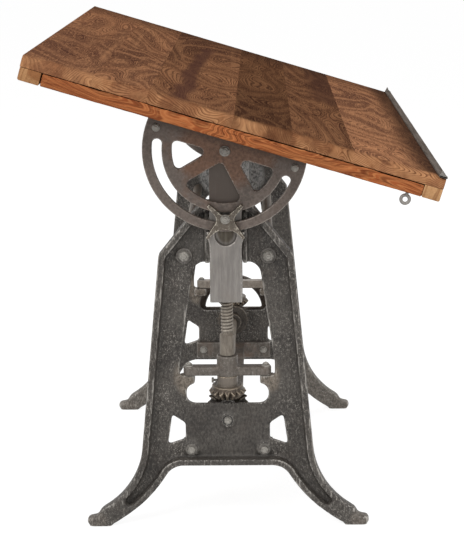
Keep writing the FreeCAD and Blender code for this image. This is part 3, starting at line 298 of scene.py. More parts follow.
gearIronLook = {
    **darkIronLook, "dark": (0.038, 0.026, 0.018), "mid": (0.080, 0.060, 0.044), "light": (0.16, 0.13, 0.10),
    "grime": (0.016, 0.011, 0.007), "bright": (0.21, 0.170, 0.125), "wear": 0.9, "edgeFrom": 0.12,
    "shade": (0.175, 0.150, 0.124), "shadeFrom": 0.3475, "shadeBand": 0.003,
    "rough": 0.26, "metal": 0.45, "dirt": 0.9}
# painted shade: the shaft gears are darkened to sit in the shade under the frame
shaftGearLook = {
    **gearIronLook, "dark": (0.026, 0.021, 0.017), "mid": (0.058, 0.049, 0.040),
    "light": (0.12, 0.105, 0.088), "wear": 0.45}
seatIronLook = {
    **darkIronLook, "dark": (0.066, 0.058, 0.051), "mid": (0.152, 0.137, 0.122), "rays": True,
    "edge": 0.003, "edgeFrom": 0.22, "wear": 1.0, "ragged": 0.5}
darkSeatLook = {**seatIronLook, "dark": (0.020, 0.018, 0.016), "mid": (0.052, 0.047, 0.042)}
wornIronLook = {
    **darkIronLook, "dark": (0.168, 0.154, 0.142), "mid": (0.250, 0.232, 0.214), "light": (0.33, 0.31, 0.29),
    "rust": (0.19, 0.150, 0.115), "grime": (0.050, 0.042, 0.034), "bright": (0.50, 0.47, 0.43),
    "streak": (1.0, 1.0, 0.10), "fleckAmount": 0.45, "rustAmount": 0.22, "depth": 0.0003, "rough": 0.42,
    "metal": 0.45, "edge": 0.004, "wear": 0.6}
# shade: painted shade over the post's upper part, under the sector and the top
postIronLook = {
    **wornIronLook, "fleckAmount": 0.28, "stainsAndPaintedLight": (postPocketShade,),
    "shade": (0.075, 0.056, 0.044), "shadeFrom": 0.775, "shadeBand": 0.03}
clampIronLook = {
    **wornIronLook, "dark": (0.075, 0.062, 0.048), "mid": (0.135, 0.112, 0.088), "bright": (0.56, 0.51, 0.42),
    "grime": (0.030, 0.022, 0.014), "streak": (1.0, 1.0, 1.0), "wear": 0.8, "edgeFrom": 0.16,
    "depth": 0.0016, "grain": 140.0, "ragged": 1.7, "dirt": 0.9}
screwSteelLook = {
    **wornIronLook, "dark": (0.135, 0.114, 0.092), "mid": (0.235, 0.205, 0.168), "light": (0.34, 0.30, 0.25),
    "rust": (0.17, 0.112, 0.070), "grime": (0.024, 0.019, 0.014), "bright": (0.50, 0.45, 0.38),
    "streak": (1.0, 1.0, 0.25), "rustAmount": 0.50, "rays": True, "edge": 0.003, "edgeFrom": 0.40,
    "dirt": 0.95}
threadSteelLook = {
    **screwSteelLook, "dark": (0.205, 0.180, 0.150), "mid": (0.345, 0.310, 0.262),
    "light": (0.46, 0.42, 0.36), "rustAmount": 0.35}
boltSteelLook = {
    **wornIronLook, "dark": (0.090, 0.082, 0.073), "mid": (0.205, 0.190, 0.170), "light": (0.30, 0.28, 0.25),
    "bright": (0.40, 0.38, 0.34), "streak": (1.0, 1.0, 1.0), "edge": 0.003, "rays": True, "edgeFrom": 0.42,
    "metal": 0.3, "rough": 0.45, "dirt": 0.38}
ledgeSteelLook = {
    **wornIronLook, "dark": (0.085, 0.069, 0.058), "mid": (0.160, 0.136, 0.118), "light": (0.22, 0.20, 0.18),
    "rust": (0.080, 0.052, 0.036), "rustAmount": 0.45, "fleckAmount": 0.25, "streak": (1.0, 0.08, 1.0),
    "rays": True, "edge": 0.0022, "edgeFrom": 0.45, "wear": 0.7, "rough": 0.50, "metal": 0.0, "spec": 0.0}
bronzeLook = {
    **wornIronLook, "dark": (0.20, 0.12, 0.050), "mid": (0.34, 0.22, 0.10), "light": (0.45, 0.32, 0.17)}


def ironFinishes(*rows):
    return {key: ironFinish(name, look) for key, name, look in rows}


finishes = ironFinishes(  # by the record's slot
    ("dark_iron", "darkIron", darkIronLook), ("sector_iron", "sectorIron", sectorIronLook),
    ("worn_iron", "wornIron", wornIronLook), ("gear_iron", "gearIron", gearIronLook),
    ("screw_steel", "screwSteel", screwSteelLook), ("bolt_steel", "boltSteel", boltSteelLook),
    ("ledge_steel", "ledgeSteel", ledgeSteelLook), ("bronze", "dullBronze", bronzeLook))
castFinishes = ironFinishes(  # by node, or by kind of node, where a casting differs from its slot
    ("clamp_head", "clampIron", clampIronLook), ("screw_bracket", "bracketIron", bracketIronLook),
    ("far_screw_bracket", "farBracketIron", farBracketLook), ("post", "postIron", postIronLook),
    ("end_frame", "frameIron", frameIronLook), ("cross_stretcher", "stretcherIron", stretcherIronLook),
    ("handwheel", "wheelIron", wheelIronLook), ("shaft_gear", "shaftGearIron", shaftGearLook))
castFinishes["screw_eye"] = finishes["worn_iron"]
seatFinishes = ironFinishes(
    ("tie_bolts", "seatIron", seatIronLook), ("bearing_bolts", "darkSeat", darkSeatLook))
threadSteel = ironFinish("threadSteel", threadSteelLook)


# timber: contour lines of a stretched noise field, laid in the tilted top's own axes, with rubbed near ends,
# painted shade towards the far end, darker beside the ledge, and grime and painted shade in the joints
timberPattern = {
    "fieldRough": 0.45, "fibreNoise": (4.0, 0.68), "brokenNoise": (3.0, 0.6), "patchNoise": (3.0, 0.55),
    "patchScale": 0.75, "bandScale": 24.0, "bandNoise": (4.0, 0.6),
    "wideBreaks": 3.0, "tightRun": 2.3, "tightBreaks": 4.5, "broadBreaks": 2.0,
    "clearPatch": 0.6, "clearBroken": 0.4, "clearFade": (0.32, 0.58), "ringFade": (-0.2, 0.95),
    "threadFade": (-0.3, 1.0), "threadLeast": 0.35, "threadRest": 0.65,
    "tonePatch": 0.65, "toneBand": 0.35, "toneFade": (0.41, 0.57), "bandDark": (0.54, 0.68),
    "bandLight": (0.32, 0.44), "broadDark": (0.0, 0.9), "broadLight": (-0.9, 0.0),
    "fibreLight": (0.50, 0.74), "fibreDark": (0.28, 0.46),
    "streakBreaks": 0.030, "streakRings": 0.006, "streakFade": (0.30, 1.30), "streakDrift": 0.2,
    "streakEnd": 0.12, "blotchStretch": (1.0, 0.4, 0.4), "blotchScale": 17.0, "blotchNoise": (4.0, 0.6),
    "paleBlotch": 0.6, "paleBroken": 0.4, "paleFade": (0.40, 0.60), "paleRings": 0.65, "paleThreads": 0.45,
    "nearBlotch": 0.100, "nearBreaks": 0.040, "nearFade": (-0.692, -0.640), "nearLeast": 0.40,
    "nearRest": 0.60, "knotBreaks": 1.2, "knotFade": (0.5, 1.1), "backDrift": 0.2, "backFade": (-0.45, 0.12),
    "farDrift": 0.10, "farFade": (0.44, 0.69), "ledgeDrift": 0.06, "ledgeNear": 0.1, "ledgeBand": 0.07,
    "jointReach": 0.006, "jointFade": (0.40, 0.95), "jointShare": 0.9, "jointTone": (0.010, 0.006, 0.004),
    "skinRings": 0.2, "skinFibre": 0.8, "skinDepth": 0.0007, "rough": 0.55, "roughFibre": 0.25,
    "roughRings": 0.08}


def timberFinish(name, look):
    p = timberPattern
    f = Finish(name)
    back = Matrix.Rotation(-restTilt, 3, "Y") @ pivot
    local = f.place(turn=(0.0, -restTilt, 0.0), shift=tuple(-back))
    spot = f.scaled(local, look["stretch"], look["offset"])
    axes = f.add("ShaderNodeSeparateXYZ", {}, {"Vector": local})
    length = axes.other("Y")
    field = f.speck(spot, look["swirl"], look["detail"], p["fieldRough"], look["distort"])
    fibre = f.speck(f.scaled(local, look["pores"]), look["fibre"], *p["fibreNoise"])
    broken = f.speck(spot, look["swirl"] * look["breaks"], *p["brokenNoise"])
    patch = f.speck(spot, look["swirl"] * p["patchScale"], *p["patchNoise"])
    run = axes * look["run"]
    wide = (field * look["lines"] + run + broken.drift(p["wideBreaks"])).sine()
    tight = (field * look["tight"] + run * p["tightRun"] + broken.drift(p["tightBreaks"])).sine()
    broad = (field * look["broad"] + broken.drift(p["broadBreaks"])).sine()
    clear = f.step(patch * p["clearPatch"] + broken * p["clearBroken"], *p["clearFade"])
    ring = f.step(wide, *p["ringFade"]) * clear
    thread = f.step(tight, *p["threadFade"]) * (p["threadLeast"] + clear * p["threadRest"])
    band = f.speck(f.scaled(local, look["bands"], look["offset"]), p["bandScale"], *p["bandNoise"])
    mottled = f.step(patch * p["tonePatch"] + band * p["toneBand"], *p["toneFade"])
    tone = f.blend(mottled, look["dark"], look["mid"])
    tone = f.blend(f.step(band, *p["bandDark"]) * look["bandShare"], tone, look["vein"])
    tone = f.blend((1.0 - f.step(band, *p["bandLight"])) * look["bandShare"], tone, look["light"])
    tone = f.blend(f.step(broad, *p["broadDark"]) * look["broadShare"], tone, look["vein"])
    tone = f.blend((1.0 - f.step(broad, *p["broadLight"])) * look["broadShare"], tone, look["light"])
    tone = f.blend(thread * look["fineContrast"], tone, look["light"])
    tone = f.blend(ring * look["contrast"], tone, look["vein"])
    tone = f.blend(f.step(fibre, *p["fibreLight"]) * look["flecks"], tone, look["light"])
    tone = f.blend((1.0 - f.step(fibre, *p["fibreDark"])) * look["flecks"], tone, look["vein"])
    for streak in look.get("streaks", ()):
        inner, outer = p["streakFade"]
        across = (axes + patch.drift(streak["sway"]) - streak["x"]).size() + broken.drift(p["streakBreaks"])
        across = across + ring.drift(p["streakRings"])
        side = 1.0 - f.step(across, streak["wide"] * inner, streak["wide"] * outer)
        along = length + patch.drift(p["streakDrift"])
        side = side * f.step(along, streak["low"], streak["low"] + p["streakEnd"])
        side = side * (1.0 - f.step(along, streak["high"], streak["high"] + p["streakEnd"]))
        tone = f.blend(side * streak["share"], tone, streak["tone"])
    blotch = f.scaled(local, p["blotchStretch"], (look["endShift"], 0.0, 0.0))
    blotch = f.speck(blotch, p["blotchScale"], *p["blotchNoise"])
    pale = f.step(blotch * p["paleBlotch"] + broken * p["paleBroken"], *p["paleFade"])
    pale = f.blend(pale, look["rubbedVein"], look["rubbed"])
    pale = f.blend(ring * p["paleRings"] + thread * p["paleThreads"], pale, look["endVein"])
    nearEnd = length + blotch.drift(p["nearBlotch"]) + broken.drift(p["nearBreaks"])
    nearEnd = 1.0 - f.step(nearEnd, *p["nearFade"])
    rubbed = p["nearLeast"] + f.step(blotch, *p["paleFade"]) * p["nearRest"]
    tone = f.blend(nearEnd * rubbed * look["endShare"], tone, pale)
    for knot in look.get("knots", ()):
        across = (axes - knot["x"]) * (1.0 / knot["wide"])
        up = (axes.other("Z") - knot["z"]) * (1.0 / knot["high"])
        reach = across * across + up * up + broken.drift(p["knotBreaks"])
        tone = f.blend((1.0 - f.step(reach, *p["knotFade"])) * knot["share"], tone, knot["tone"])
    backSide = 1.0 - f.step(axes + patch.drift(p["backDrift"]), *p["backFade"])
    tone = f.blend(backSide * look["backShade"], tone, look["vein"])
    # painted shade towards the far end of the boards
    farEnd = f.step(length + patch.drift(p["farDrift"]), *p["farFade"])
    tone = f.blend(farEnd * look["farShare"], tone, look["grime"])
    ledgeSide = axes + patch.drift(p["ledgeDrift"]) - nearEnd * p["ledgeNear"]
    ledgeSide = f.step(ledgeSide, look["darkFrom"], look["darkFrom"] + p["ledgeBand"])
    tone = f.blend(ledgeSide * look["darkShare"], tone, look["grime"])
    # grime and painted shade in the joints and gaps
    joint = f.step(f.hollows(p["jointReach"]), *p["jointFade"])
    tone = f.blend(joint * p["jointShare"], tone, p["jointTone"])
    skin = f.bump(wide * p["skinRings"] + fibre * p["skinFibre"], p["skinDepth"])
    rough = p["rough"] + fibre * p["roughFibre"] + ring * p["roughRings"]
    return f.set(colour=tone, rough=rough, metal=0.0, normal=skin, spec=0.0)


boardLook = {
    "dark": (0.092, 0.040, 0.025), "mid": (0.240, 0.105, 0.053), "light": (0.365, 0.176, 0.086),
    "vein": (0.046, 0.019, 0.014), "grime": (0.036, 0.020, 0.014), "rubbed": (0.54, 0.275, 0.128),
    "rubbedVein": (0.230, 0.092, 0.040), "endVein": (0.150, 0.058, 0.026),
    "offset": (0.0, 0.0, 0.0), "stretch": (1.0, 0.36, 1.0), "bands": (1.0, 0.025, 1.0), "bandShare": 0.45,
    "swirl": 3.4, "detail": 2.0, "distort": 1.3, "lines": 600.0, "tight": 1300.0, "breaks": 10.0,
    "run": 300.0, "pores": (1.0, 0.10, 1.0), "fibre": 300.0, "flecks": 0.7, "contrast": 0.66,
    "fineContrast": 0.60, "broad": 80.0, "broadShare": 0.42, "endShare": 1.0, "endShift": 0.31,
    "farShare": 0.5, "darkFrom": 0.362, "darkShare": 0.82, "backShade": 0.0}
cleatLook = {
    **boardLook, "dark": (0.205, 0.052, 0.019), "mid": (0.340, 0.098, 0.034), "light": (0.480, 0.190, 0.070),
    "vein": (0.092, 0.026, 0.012), "offset": (4.2, 1.0, 2.0), "stretch": (0.16, 1.0, 1.0),
    "bands": (0.10, 1.0, 1.0), "pores": (0.08, 1.0, 1.0), "swirl": 9.0, "detail": 2.2, "distort": 1.1,
    "lines": 150.0, "tight": 390.0, "breaks": 7.0, "run": 60.0, "contrast": 0.62, "fineContrast": 0.66,
    "broad": 62.0, "broadShare": 0.30, "endShare": 0.0, "farShare": 0.0, "darkShare": 0.0, "backShade": 0.20}
railKnot = {"x": -0.419, "z": 0.087, "wide": 0.026, "high": 0.016, "share": 0.75,
            "tone": (0.215, 0.082, 0.032)}
railLook = {
    **boardLook, "dark": (0.34, 0.165, 0.070), "mid": (0.52, 0.290, 0.140), "light": (0.60, 0.38, 0.20),
    "vein": (0.24, 0.105, 0.044), "rubbed": (0.56, 0.32, 0.155), "rubbedVein": (0.36, 0.185, 0.082),
    "endVein": (0.24, 0.105, 0.044), "swirl": 5.0, "detail": 2.2, "distort": 1.1, "lines": 150.0,
    "tight": 700.0, "breaks": 7.0, "run": 0.0, "contrast": 0.45, "fineContrast": 0.66, "broad": 62.0,
    "broadShare": 0.15, "farShare": 0.2, "darkShare": 0.0, "backShade": 0.42, "knots": (railKnot,)}
heartStreak = {"x": -0.112, "wide": 0.021, "low": -0.70, "high": 0.34, "sway": 0.14, "share": 0.78,
               "tone": (0.066, 0.029, 0.022)}
broadStreak = {"x": 0.226, "wide": 0.046, "low": -0.06, "high": 0.80, "sway": 0.02, "share": 0.60,
               "tone": (0.060, 0.027, 0.019)}
boardSkew = (1.0, 0.7, 1.3)
boardLooks = (
    {"shade": 1.12, "offset": 0.0, "broadShare": 0.24},
    {"shade": 1.06, "offset": 3.1, "broadShare": 0.42},
    {"shade": 0.81, "offset": 7.7, "broadShare": 0.42, "streaks": (heartStreak,)},
    {"shade": 0.50, "offset": 12.4, "broadShare": 0.36},
    {"shade": 0.70, "offset": 17.9, "broadShare": 0.42, "streaks": (broadStreak,)},
    {"shade": 1.32, "offset": 23.3, "broadShare": 0.42})
boardFinishes = []
for count, own in enumerate(boardLooks, start=1):
    look = {**boardLook, **own, "offset": tuple(own["offset"] * share for share in boardSkew)}
    for key in ("dark", "mid", "vein", "light"):
        look[key] = tuple(channel * own["shade"] for channel in boardLook[key])
    boardFinishes.append(timberFinish("boardWood%d" % count, look))
finishes["cleat_wood"] = timberFinish("cleatWood", cleatLook)
finishes["rail_wood"] = timberFinish("railWood", railLook)
print("finishes made:", len(bpy.data.materials))


def meshFrom(shell, name):
    mesh = bpy.data.meshes.new(name)
    shell.to_mesh(mesh)
    shell.free()
    return mesh


def keepPiece(name, mesh, finish, body, stands=(), sharp=45.0):
    mesh.name = name
    mesh.shade_smooth()
    mesh.set_sharp_from_angle(angle=math.radians(sharp))
    mesh.materials.clear()
    mesh.materials.append(finish)
    piece = bpy.data.objects.new(name, mesh)
    scene.collection.objects.link(piece)
    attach(piece, body)
    if stands:
        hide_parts(*stands)


def evaluatedMesh(item):
    graph = bpy.context.evaluated_depsgraph_get()
    return bpy.data.meshes.new_from_object(item.evaluated_get(graph), depsgraph=graph)


def camel(name):
    first, *rest = name.split("_")
    return first + "".join(word.capitalize() for word in rest)


# castings: a merged copy of the solid, resampled and softened until its corners are rounded like a pour
castSizes = {
    "end_frame": {"voxel": 0.0027, "rounds": 14, "share": 0.42,
                  "toe": {"floor": 0.0015, "top": 0.046, "rounds": 30, "legTop": 0.150, "legRounds": 24}},
    "sector": {"voxel": 0.0018, "rounds": 4, "share": 0.35},
    "post": {"voxel": 0.0018, "rounds": 3, "share": 0.35},
    "screw_bracket": {"voxel": 0.0013, "rounds": 28, "share": 0.45},
    "shaft_bearing": {"voxel": 0.0013, "rounds": 4, "share": 0.35},
    "clamp_head": {"voxel": 0.0009, "rounds": 5, "share": 0.40},
    "screw_gear": {"voxel": 0.0010, "rounds": 7, "share": 0.45, "swell": 0.0010},
    "shaft_gear": {"voxel": 0.0010, "rounds": 7, "share": 0.45, "swell": 0.0004},
    "top_bracket": {"voxel": 0.0022, "rounds": 4, "share": 0.30},
    "set_screw": {"voxel": 0.0005, "rounds": 3, "share": 0.50},
    "cross_stretcher": {"voxel": 0.0026, "rounds": 5, "share": 0.35},
    "handwheel": {"voxel": 0.0019, "rounds": 8, "share": 0.40},
    "screw_eye": {"voxel": 0.0006, "rounds": 4, "share": 0.60, "swell": 0.0010},
}
softness = 0.5  # how far a smoothing round moves a point
edgeMarks = {"spread": 1, "gain": 3.2}


# how far each point stands out from its neighbours, kept on the mesh for the worn edges of the finish
def markEdges(mesh):
    count = len(mesh.vertices)
    spots = np.empty(count * 3)
    facing = np.empty(count * 3)
    pairs = np.empty(len(mesh.edges) * 2, dtype=np.int32)
    mesh.vertices.foreach_get("co", spots)
    mesh.vertices.foreach_get("normal", facing)
    mesh.edges.foreach_get("vertices", pairs)
    spots, facing = spots.reshape(-1, 3), facing.reshape(-1, 3)
    first, second = pairs[0::2], pairs[1::2]
    gap = spots[first] - spots[second]
    gap /= np.linalg.norm(gap, axis=1)[:, None] + 1e-9
    meeting = np.maximum(np.bincount(first, minlength=count) + np.bincount(second, minlength=count), 1)

    def gathered(onFirst, onSecond):
        return (np.bincount(first, onFirst, count) + np.bincount(second, onSecond, count)) / meeting

    bend = gathered((facing[first] * gap).sum(axis=1), -(facing[second] * gap).sum(axis=1))
    for turn in range(edgeMarks["spread"]):
        bend = 0.5 * bend + 0.5 * gathered(bend[second], bend[first])
    layer = mesh.attributes.new("convex", "FLOAT", "POINT")
    layer.data.foreach_set("value", (bend * edgeMarks["gain"]).astype(np.float32))


def roundToes(mesh, toe):
    shell = bmesh.new()
    shell.from_mesh(mesh)
    for turn in range(toe["rounds"]):
        top = toe["top"] + (toe["legTop"] - toe["top"]) * max(0.0, 1.0 - turn / toe["legRounds"])
        low = [vert for vert in shell.verts if toe["floor"] < vert.co.z < top]
        bmesh.ops.smooth_vert(shell, verts=low, factor=softness,
                              use_axis_x=True, use_axis_y=True, use_axis_z=True)
    shell.to_mesh(mesh)
    shell.free()


def castPiece(nodeName, size, finish):
    shell = bmesh.new()
    shell.from_mesh(nodes[nodeName].data)
    bmesh.ops.remove_doubles(shell, verts=shell.verts, dist=mergeGap)
    rough = bpy.data.objects.new("roughCasting", meshFrom(shell, nodeName))
    scene.collection.objects.link(rough)
    remesh = rough.modifiers.new("pour", "REMESH")
    remesh.mode = "VOXEL"
    remesh.voxel_size = size["voxel"]
    if "swell" in size:
        swell = rough.modifiers.new("swell", "DISPLACE")
        swell.strength = size["swell"]
        swell.mid_level = 0.0
    soften = rough.modifiers.new("soften", "SMOOTH")
    soften.factor = softness
    soften.iterations = size["rounds"]
    thin = rough.modifiers.new("thin", "DECIMATE")
    thin.ratio = size["share"]
    cast = evaluatedMesh(rough)
    bpy.data.objects.remove(rough)
    if "toe" in size:
        roundToes(cast, size["toe"])
    markEdges(cast)
    keepPiece(camel(nodeName) + "Casting", cast, finish, bodyOf[nodeName], [nodeName], sharp=70.0)


for kind, size in castSizes.items():
    for nodeName in (kind, "near_" + kind, "far_" + kind):
        if nodeName in nodes:
            finish = castFinishes.get(nodeName) or castFinishes.get(kind) or finishes[slotOf[nodeName]]
            castPiece(nodeName, size, finish)
print("castings made:", len(castSizes))


# lead screws and lift nuts, turned from a profile of radius and height
screwSizes = {"centreY": 0.398, "journalLow": 0.318, "seat": 0.4232, "shankTop": 0.478, "top": 0.728,
              "journal": 0.012, "shank": 0.0175, "core": 0.0114, "chamfer": 0.0016, "threadRadius": 0.0033,
              "threadFoot": 0.001, "threadHead": 0.006, "pitch": 0.008, "threadSides": 8, "stepsPerTurn": 40}
nutSizes = {"low": 0.565, "high": 0.597, "outer": 0.020, "bore": 0.01635, "chamfer": 0.0012}


def turned(profile, centre, segments=64):
    shell = bmesh.new()
    rings = []
    for radius, height in profile:
        ring = []
        for count in range(segments):
            angle = 2.0 * math.pi * count / segments
            spot = (centre[0] + radius * math.cos(angle), centre[1] + radius * math.sin(angle), height)
            ring.append(shell.verts.new(spot))
        rings.append(ring)
    for low, high in zip(rings, rings[1:]):
        for count in range(segments):
            after = (count + 1) % segments
            shell.faces.new((low[count], low[after], high[after], high[count]))
    return shell, rings


def screwCore(end, centre):
    s = screwSizes
    edge = s["chamfer"]
    profile = [(s["journal"] - edge, s["journalLow"]), (s["journal"], s["journalLow"] + edge),
               (s["journal"], s["seat"]), (s["shank"] - edge, s["seat"]), (s["shank"], s["seat"] + edge),
               (s["shank"], s["shankTop"] - 3 * edge), (s["core"], s["shankTop"]),
               (s["core"], s["top"] - 2 * edge), (s["core"] - 2 * edge, s["top"])]
    shell, rings = turned(profile, centre)
    shell.faces.new(list(reversed(rings[0])))
    shell.faces.new(rings[-1])
    screwNode = end + "_lead_screw"
    keepPiece(end + "ScrewCore", meshFrom(shell, "screwCore"), finishes["screw_steel"], bodyOf[screwNode],
              [screwNode], sharp=35.0)


def liftNut(end, centre):
    s = nutSizes
    edge = s["chamfer"]
    profile = [(s["bore"], s["low"]), (s["outer"] - edge, s["low"]), (s["outer"], s["low"] + edge),
               (s["outer"], s["high"] - edge), (s["outer"] - edge, s["high"]), (s["bore"], s["high"]),
               (s["bore"], s["low"])]
    shell = turned(profile, centre)[0]
    bmesh.ops.remove_doubles(shell, verts=shell.verts, dist=mergeGap)
    keepPiece(end + "LiftNut", meshFrom(shell, "liftNut"), finishes["bronze"], "lift", [end + "_lift_nut"],
              sharp=35.0)


def nodeGroup(name, sizes):
    group = bpy.data.node_groups.new(name, "GeometryNodeTree")
    group.interface.new_socket(name="Shape", in_out="OUTPUT", socket_type="NodeSocketGeometry")
    group.interface.new_socket(name="Shape", in_out="INPUT", socket_type="NodeSocketGeometry")
    kinds = {int: "NodeSocketInt", float: "NodeSocketFloat", bool: "NodeSocketBool"}
    rows = {key: kinds[kind] for key, kind in sizes.items()}
    rows["finish"] = "NodeSocketMaterial"
    names = {}
    for key, kind in rows.items():
        names[key] = group.interface.new_socket(name=key, in_out="INPUT", socket_type=kind).identifier
    tree = Tree(group)
    return group, tree, tree.add("NodeGroupInput"), names


def onPoints(tree, given, shape):
    facing = tree.add("GeometryNodeInputNamedAttribute", {"data_type": "FLOAT_VECTOR"}, {"Name": "facing"})
    turn = tree.add("FunctionNodeEulerToRotation", {}, {"Euler": facing})
    return tree.add("GeometryNodeInstanceOnPoints", {},
                    {"Points": given, "Instance": shape, "Rotation": turn})


def endTree(tree, given, shape):
    real = tree.add("GeometryNodeRealizeInstances", {}, {"Geometry": shape})
    dressed = tree.add("GeometryNodeSetMaterial", {}, {"Geometry": real, "Material": given.other("finish")})
    tree.add("NodeGroupOutput", {}, {0: dressed})


def grown(points, group, names, values, turns=None):
    mesh = bpy.data.meshes.new("seed")
    mesh.from_pydata(points, [], [])
    if turns is not None:
        facing = mesh.attributes.new("facing", "FLOAT_VECTOR", "POINT")
        for item, turn in zip(facing.data, turns):
            item.vector = turn
    seed = bpy.data.objects.new("seed", mesh)
    scene.collection.objects.link(seed)
    maker = seed.modifiers.new("maker", "NODES")
    maker.node_group = group
    for key, value in values.items():
        maker[names[key]] = value
    grownMesh = evaluatedMesh(seed)
    bpy.data.objects.remove(seed)
    return grownMesh


# screw thread: a round section carried along a spiral
def makeThreadGroup():
    inputs = {"turns": float, "height": float, "radius": float, "section": float, "sides": int, "steps": int,
              "rightHand": bool}
    group, tree, given, names = nodeGroup("screwThread", inputs)
    spiral = tree.add("GeometryNodeCurveSpiral", {}, {
        "Resolution": given.other("steps"), "Rotations": given.other("turns"),
        "Start Radius": given.other("radius"), "End Radius": given.other("radius"),
        "Height": given.other("height"), "Reverse": given.other("rightHand")})
    section = tree.add("GeometryNodeCurvePrimitiveCircle", {},
                       {"Resolution": given.other("sides"), 4: given.other("section")})
    swept = tree.add("GeometryNodeCurveToMesh", {},
                     {"Curve": spiral, "Profile Curve": section, "Fill Caps": True})
    endTree(tree, given, swept)
    return group, names


threadGroup, threadNames = makeThreadGroup()


def screwThread(end, centre, rightHand):
    s = screwSizes
    low, high = s["shankTop"] + s["threadFoot"], s["top"] - s["threadHead"]
    values = {"turns": (high - low) / s["pitch"], "height": high - low, "radius": s["core"],
              "section": s["threadRadius"], "sides": s["threadSides"], "steps": s["stepsPerTurn"],
              "rightHand": rightHand, "finish": threadSteel}
    mesh = grown([(0.0, 0.0, 0.0)], threadGroup, threadNames, values)
    mesh.transform(Matrix.Translation((centre[0], centre[1], low)))
    keepPiece(end + "ScrewThread", mesh, threadSteel, bodyOf[end + "_lead_screw"],
              sharp=80.0)


for end, side in (("near", -1.0), ("far", 1.0)):
    centre = (middleX, side * screwSizes["centreY"])
    screwCore(end, centre)
    liftNut(end, centre)
    screwThread(end, centre, end == "near")
print("screws and nuts made")


# bolt heads and nuts: a chamfered hexagon on a washer, with the bolt's end standing out of it
boltShape = {"body": 0.72, "crown": 0.28, "crownTop": 0.80, "washerSides": 32, "washerTop": 0.94,
             "stubSides": 24, "stubTop": 0.8, "headShare": 0.8, "washerHeight": 0.0016, "stubHeight": 0.0018}
seatShape = {"high": 0.0052, "slope": 0.90, "sides": 48}
boltSpin = {"first": 0.37, "next": 1.1, "side": 0.6}  # how each head is turned, in radians
boltSets = {
    "tie_bolts": {"spots": ((0.0975, 0.666), (-0.0975, 0.666)), "y": 0.411, "way": 1, "radius": 0.0126,
                  "height": 0.009, "washer": 0.0129, "stub": 0.006, "seat": 0.0200},
    "stretcher_bolts": {"spots": ((0.087, 0.190), (-0.087, 0.190)), "y": 0.411, "way": 1, "radius": 0.0096,
                        "height": 0.009, "washer": 0.0143, "stub": 0.005, "washerHeight": 0.003},
    "bearing_bolts": {"spots": ((0.0, 0.263),), "y": 0.411, "way": 1, "radius": 0.0090, "height": 0.009,
                      "washer": 0.0094, "stub": 0.005, "seat": 0.0152},
    "stretcher_nuts": {"spots": ((0.087, 0.190), (-0.087, 0.190)), "y": 0.382, "way": -1, "radius": 0.0094,
                       "height": 0.009, "washer": 0.0108, "stub": 0.0050},
    "pivot_bolts": {"spots": ((0.0, 0.918),), "y": 0.452, "way": 1, "radius": 0.0108, "height": 0.009,
                    "washer": 0.0124, "stub": 0.006},
    "pivot_nuts": {"spots": ((0.0, 0.918),), "y": 0.364, "way": -1, "radius": 0.0170, "height": 0.010,
                   "washer": 0.0200, "stub": 0.0088},
    "clamp_bolts": {"spots": ((0.0, 0.765),), "y": 0.469, "way": 1, "radius": 0.0096, "height": 0.008,
                    "washer": 0.0112, "stub": 0.005},
    "bracket_bolts": {"spots": ((0.091, 0.398), (-0.091, 0.398)), "z": 0.396, "radius": 0.0080,
                      "height": 0.006, "washer": 0.0105, "stub": 0.004},
    "sector_bolts": {"spots": ((0.162, 0.008), (-0.162, 0.008)), "y": 0.4517, "way": 1, "radius": 0.0084,
                     "height": 0.007, "washer": 0.0092, "stub": 0.004, "tilted": True},
}


def taper(tree, sides, radius, topShare, depth):
    return tree.add("GeometryNodeMeshCone", {}, {"Vertices": sides, "Radius Top": radius * topShare,
                                                 "Radius Bottom": radius, "Depth": depth})


def raised(tree, shape, height):
    lift = tree.add("ShaderNodeCombineXYZ", {}, {"Z": height})
    return tree.add("GeometryNodeTransform", {}, {"Geometry": shape, "Translation": lift})


def makeBoltGroup():
    b = boltShape
    inputs = ("radius", "height", "washer", "washerHeight", "stub", "stubHeight")
    group, tree, given, names = nodeGroup("boltSet", dict.fromkeys(inputs, float))
    radius, height, washerRadius, washerHeight, stubRadius, stubHeight = (given.other(key) for key in inputs)
    body = tree.add("GeometryNodeMeshCylinder", {}, {"Vertices": 6, "Radius": radius,
                                                     "Depth": height * b["body"]})
    body = raised(tree, body, washerHeight + height * (b["body"] / 2))
    crown = taper(tree, 6, radius, b["crownTop"], height * b["crown"])
    crown = raised(tree, crown, washerHeight + height * b["body"])
    washer = taper(tree, b["washerSides"], washerRadius, b["washerTop"], washerHeight)
    stub = taper(tree, b["stubSides"], stubRadius, b["stubTop"], stubHeight)
    stub = raised(tree, stub, washerHeight + height)
    joined = tree.add("GeometryNodeJoinGeometry")
    for part in (body, crown, washer, stub):
        tree.tree.links.new(part.socket, joined.socket.node.inputs[0])
    endTree(tree, given, onPoints(tree, given, joined))
    return group, names


# cast seats under the bolts of the end frames: a low round pad with a sloping edge
def makeSeatGroup():
    group, tree, given, names = nodeGroup("boltSeat", {"radius": float, "high": float})
    pad = taper(tree, seatShape["sides"], given.other("radius"), seatShape["slope"], given.other("high"))
    endTree(tree, given, onPoints(tree, given, pad))
    return group, names


def boltPlaces(size):
    points, turns = [], []
    for count, (x, other) in enumerate(size["spots"]):
        for side in (-1.0, 1.0):
            spin = boltSpin["first"] + boltSpin["next"] * count + boltSpin["side"] * side
            if "z" in size:  # standing upright
                points.append(Vector((middleX + x, side * other, size["z"])))
                turns.append((0.0, 0.0, spin))
                continue
            if size.get("tilted"):
                spot = topPlace @ Vector((x, 0.0, other))
            else:
                spot = Vector((middleX + x, 0.0, other))
            points.append(Vector((spot.x, side * size["y"], spot.z)))
            turns.append((-side * size["way"] * quarter, spin, 0.0))
    return points, turns


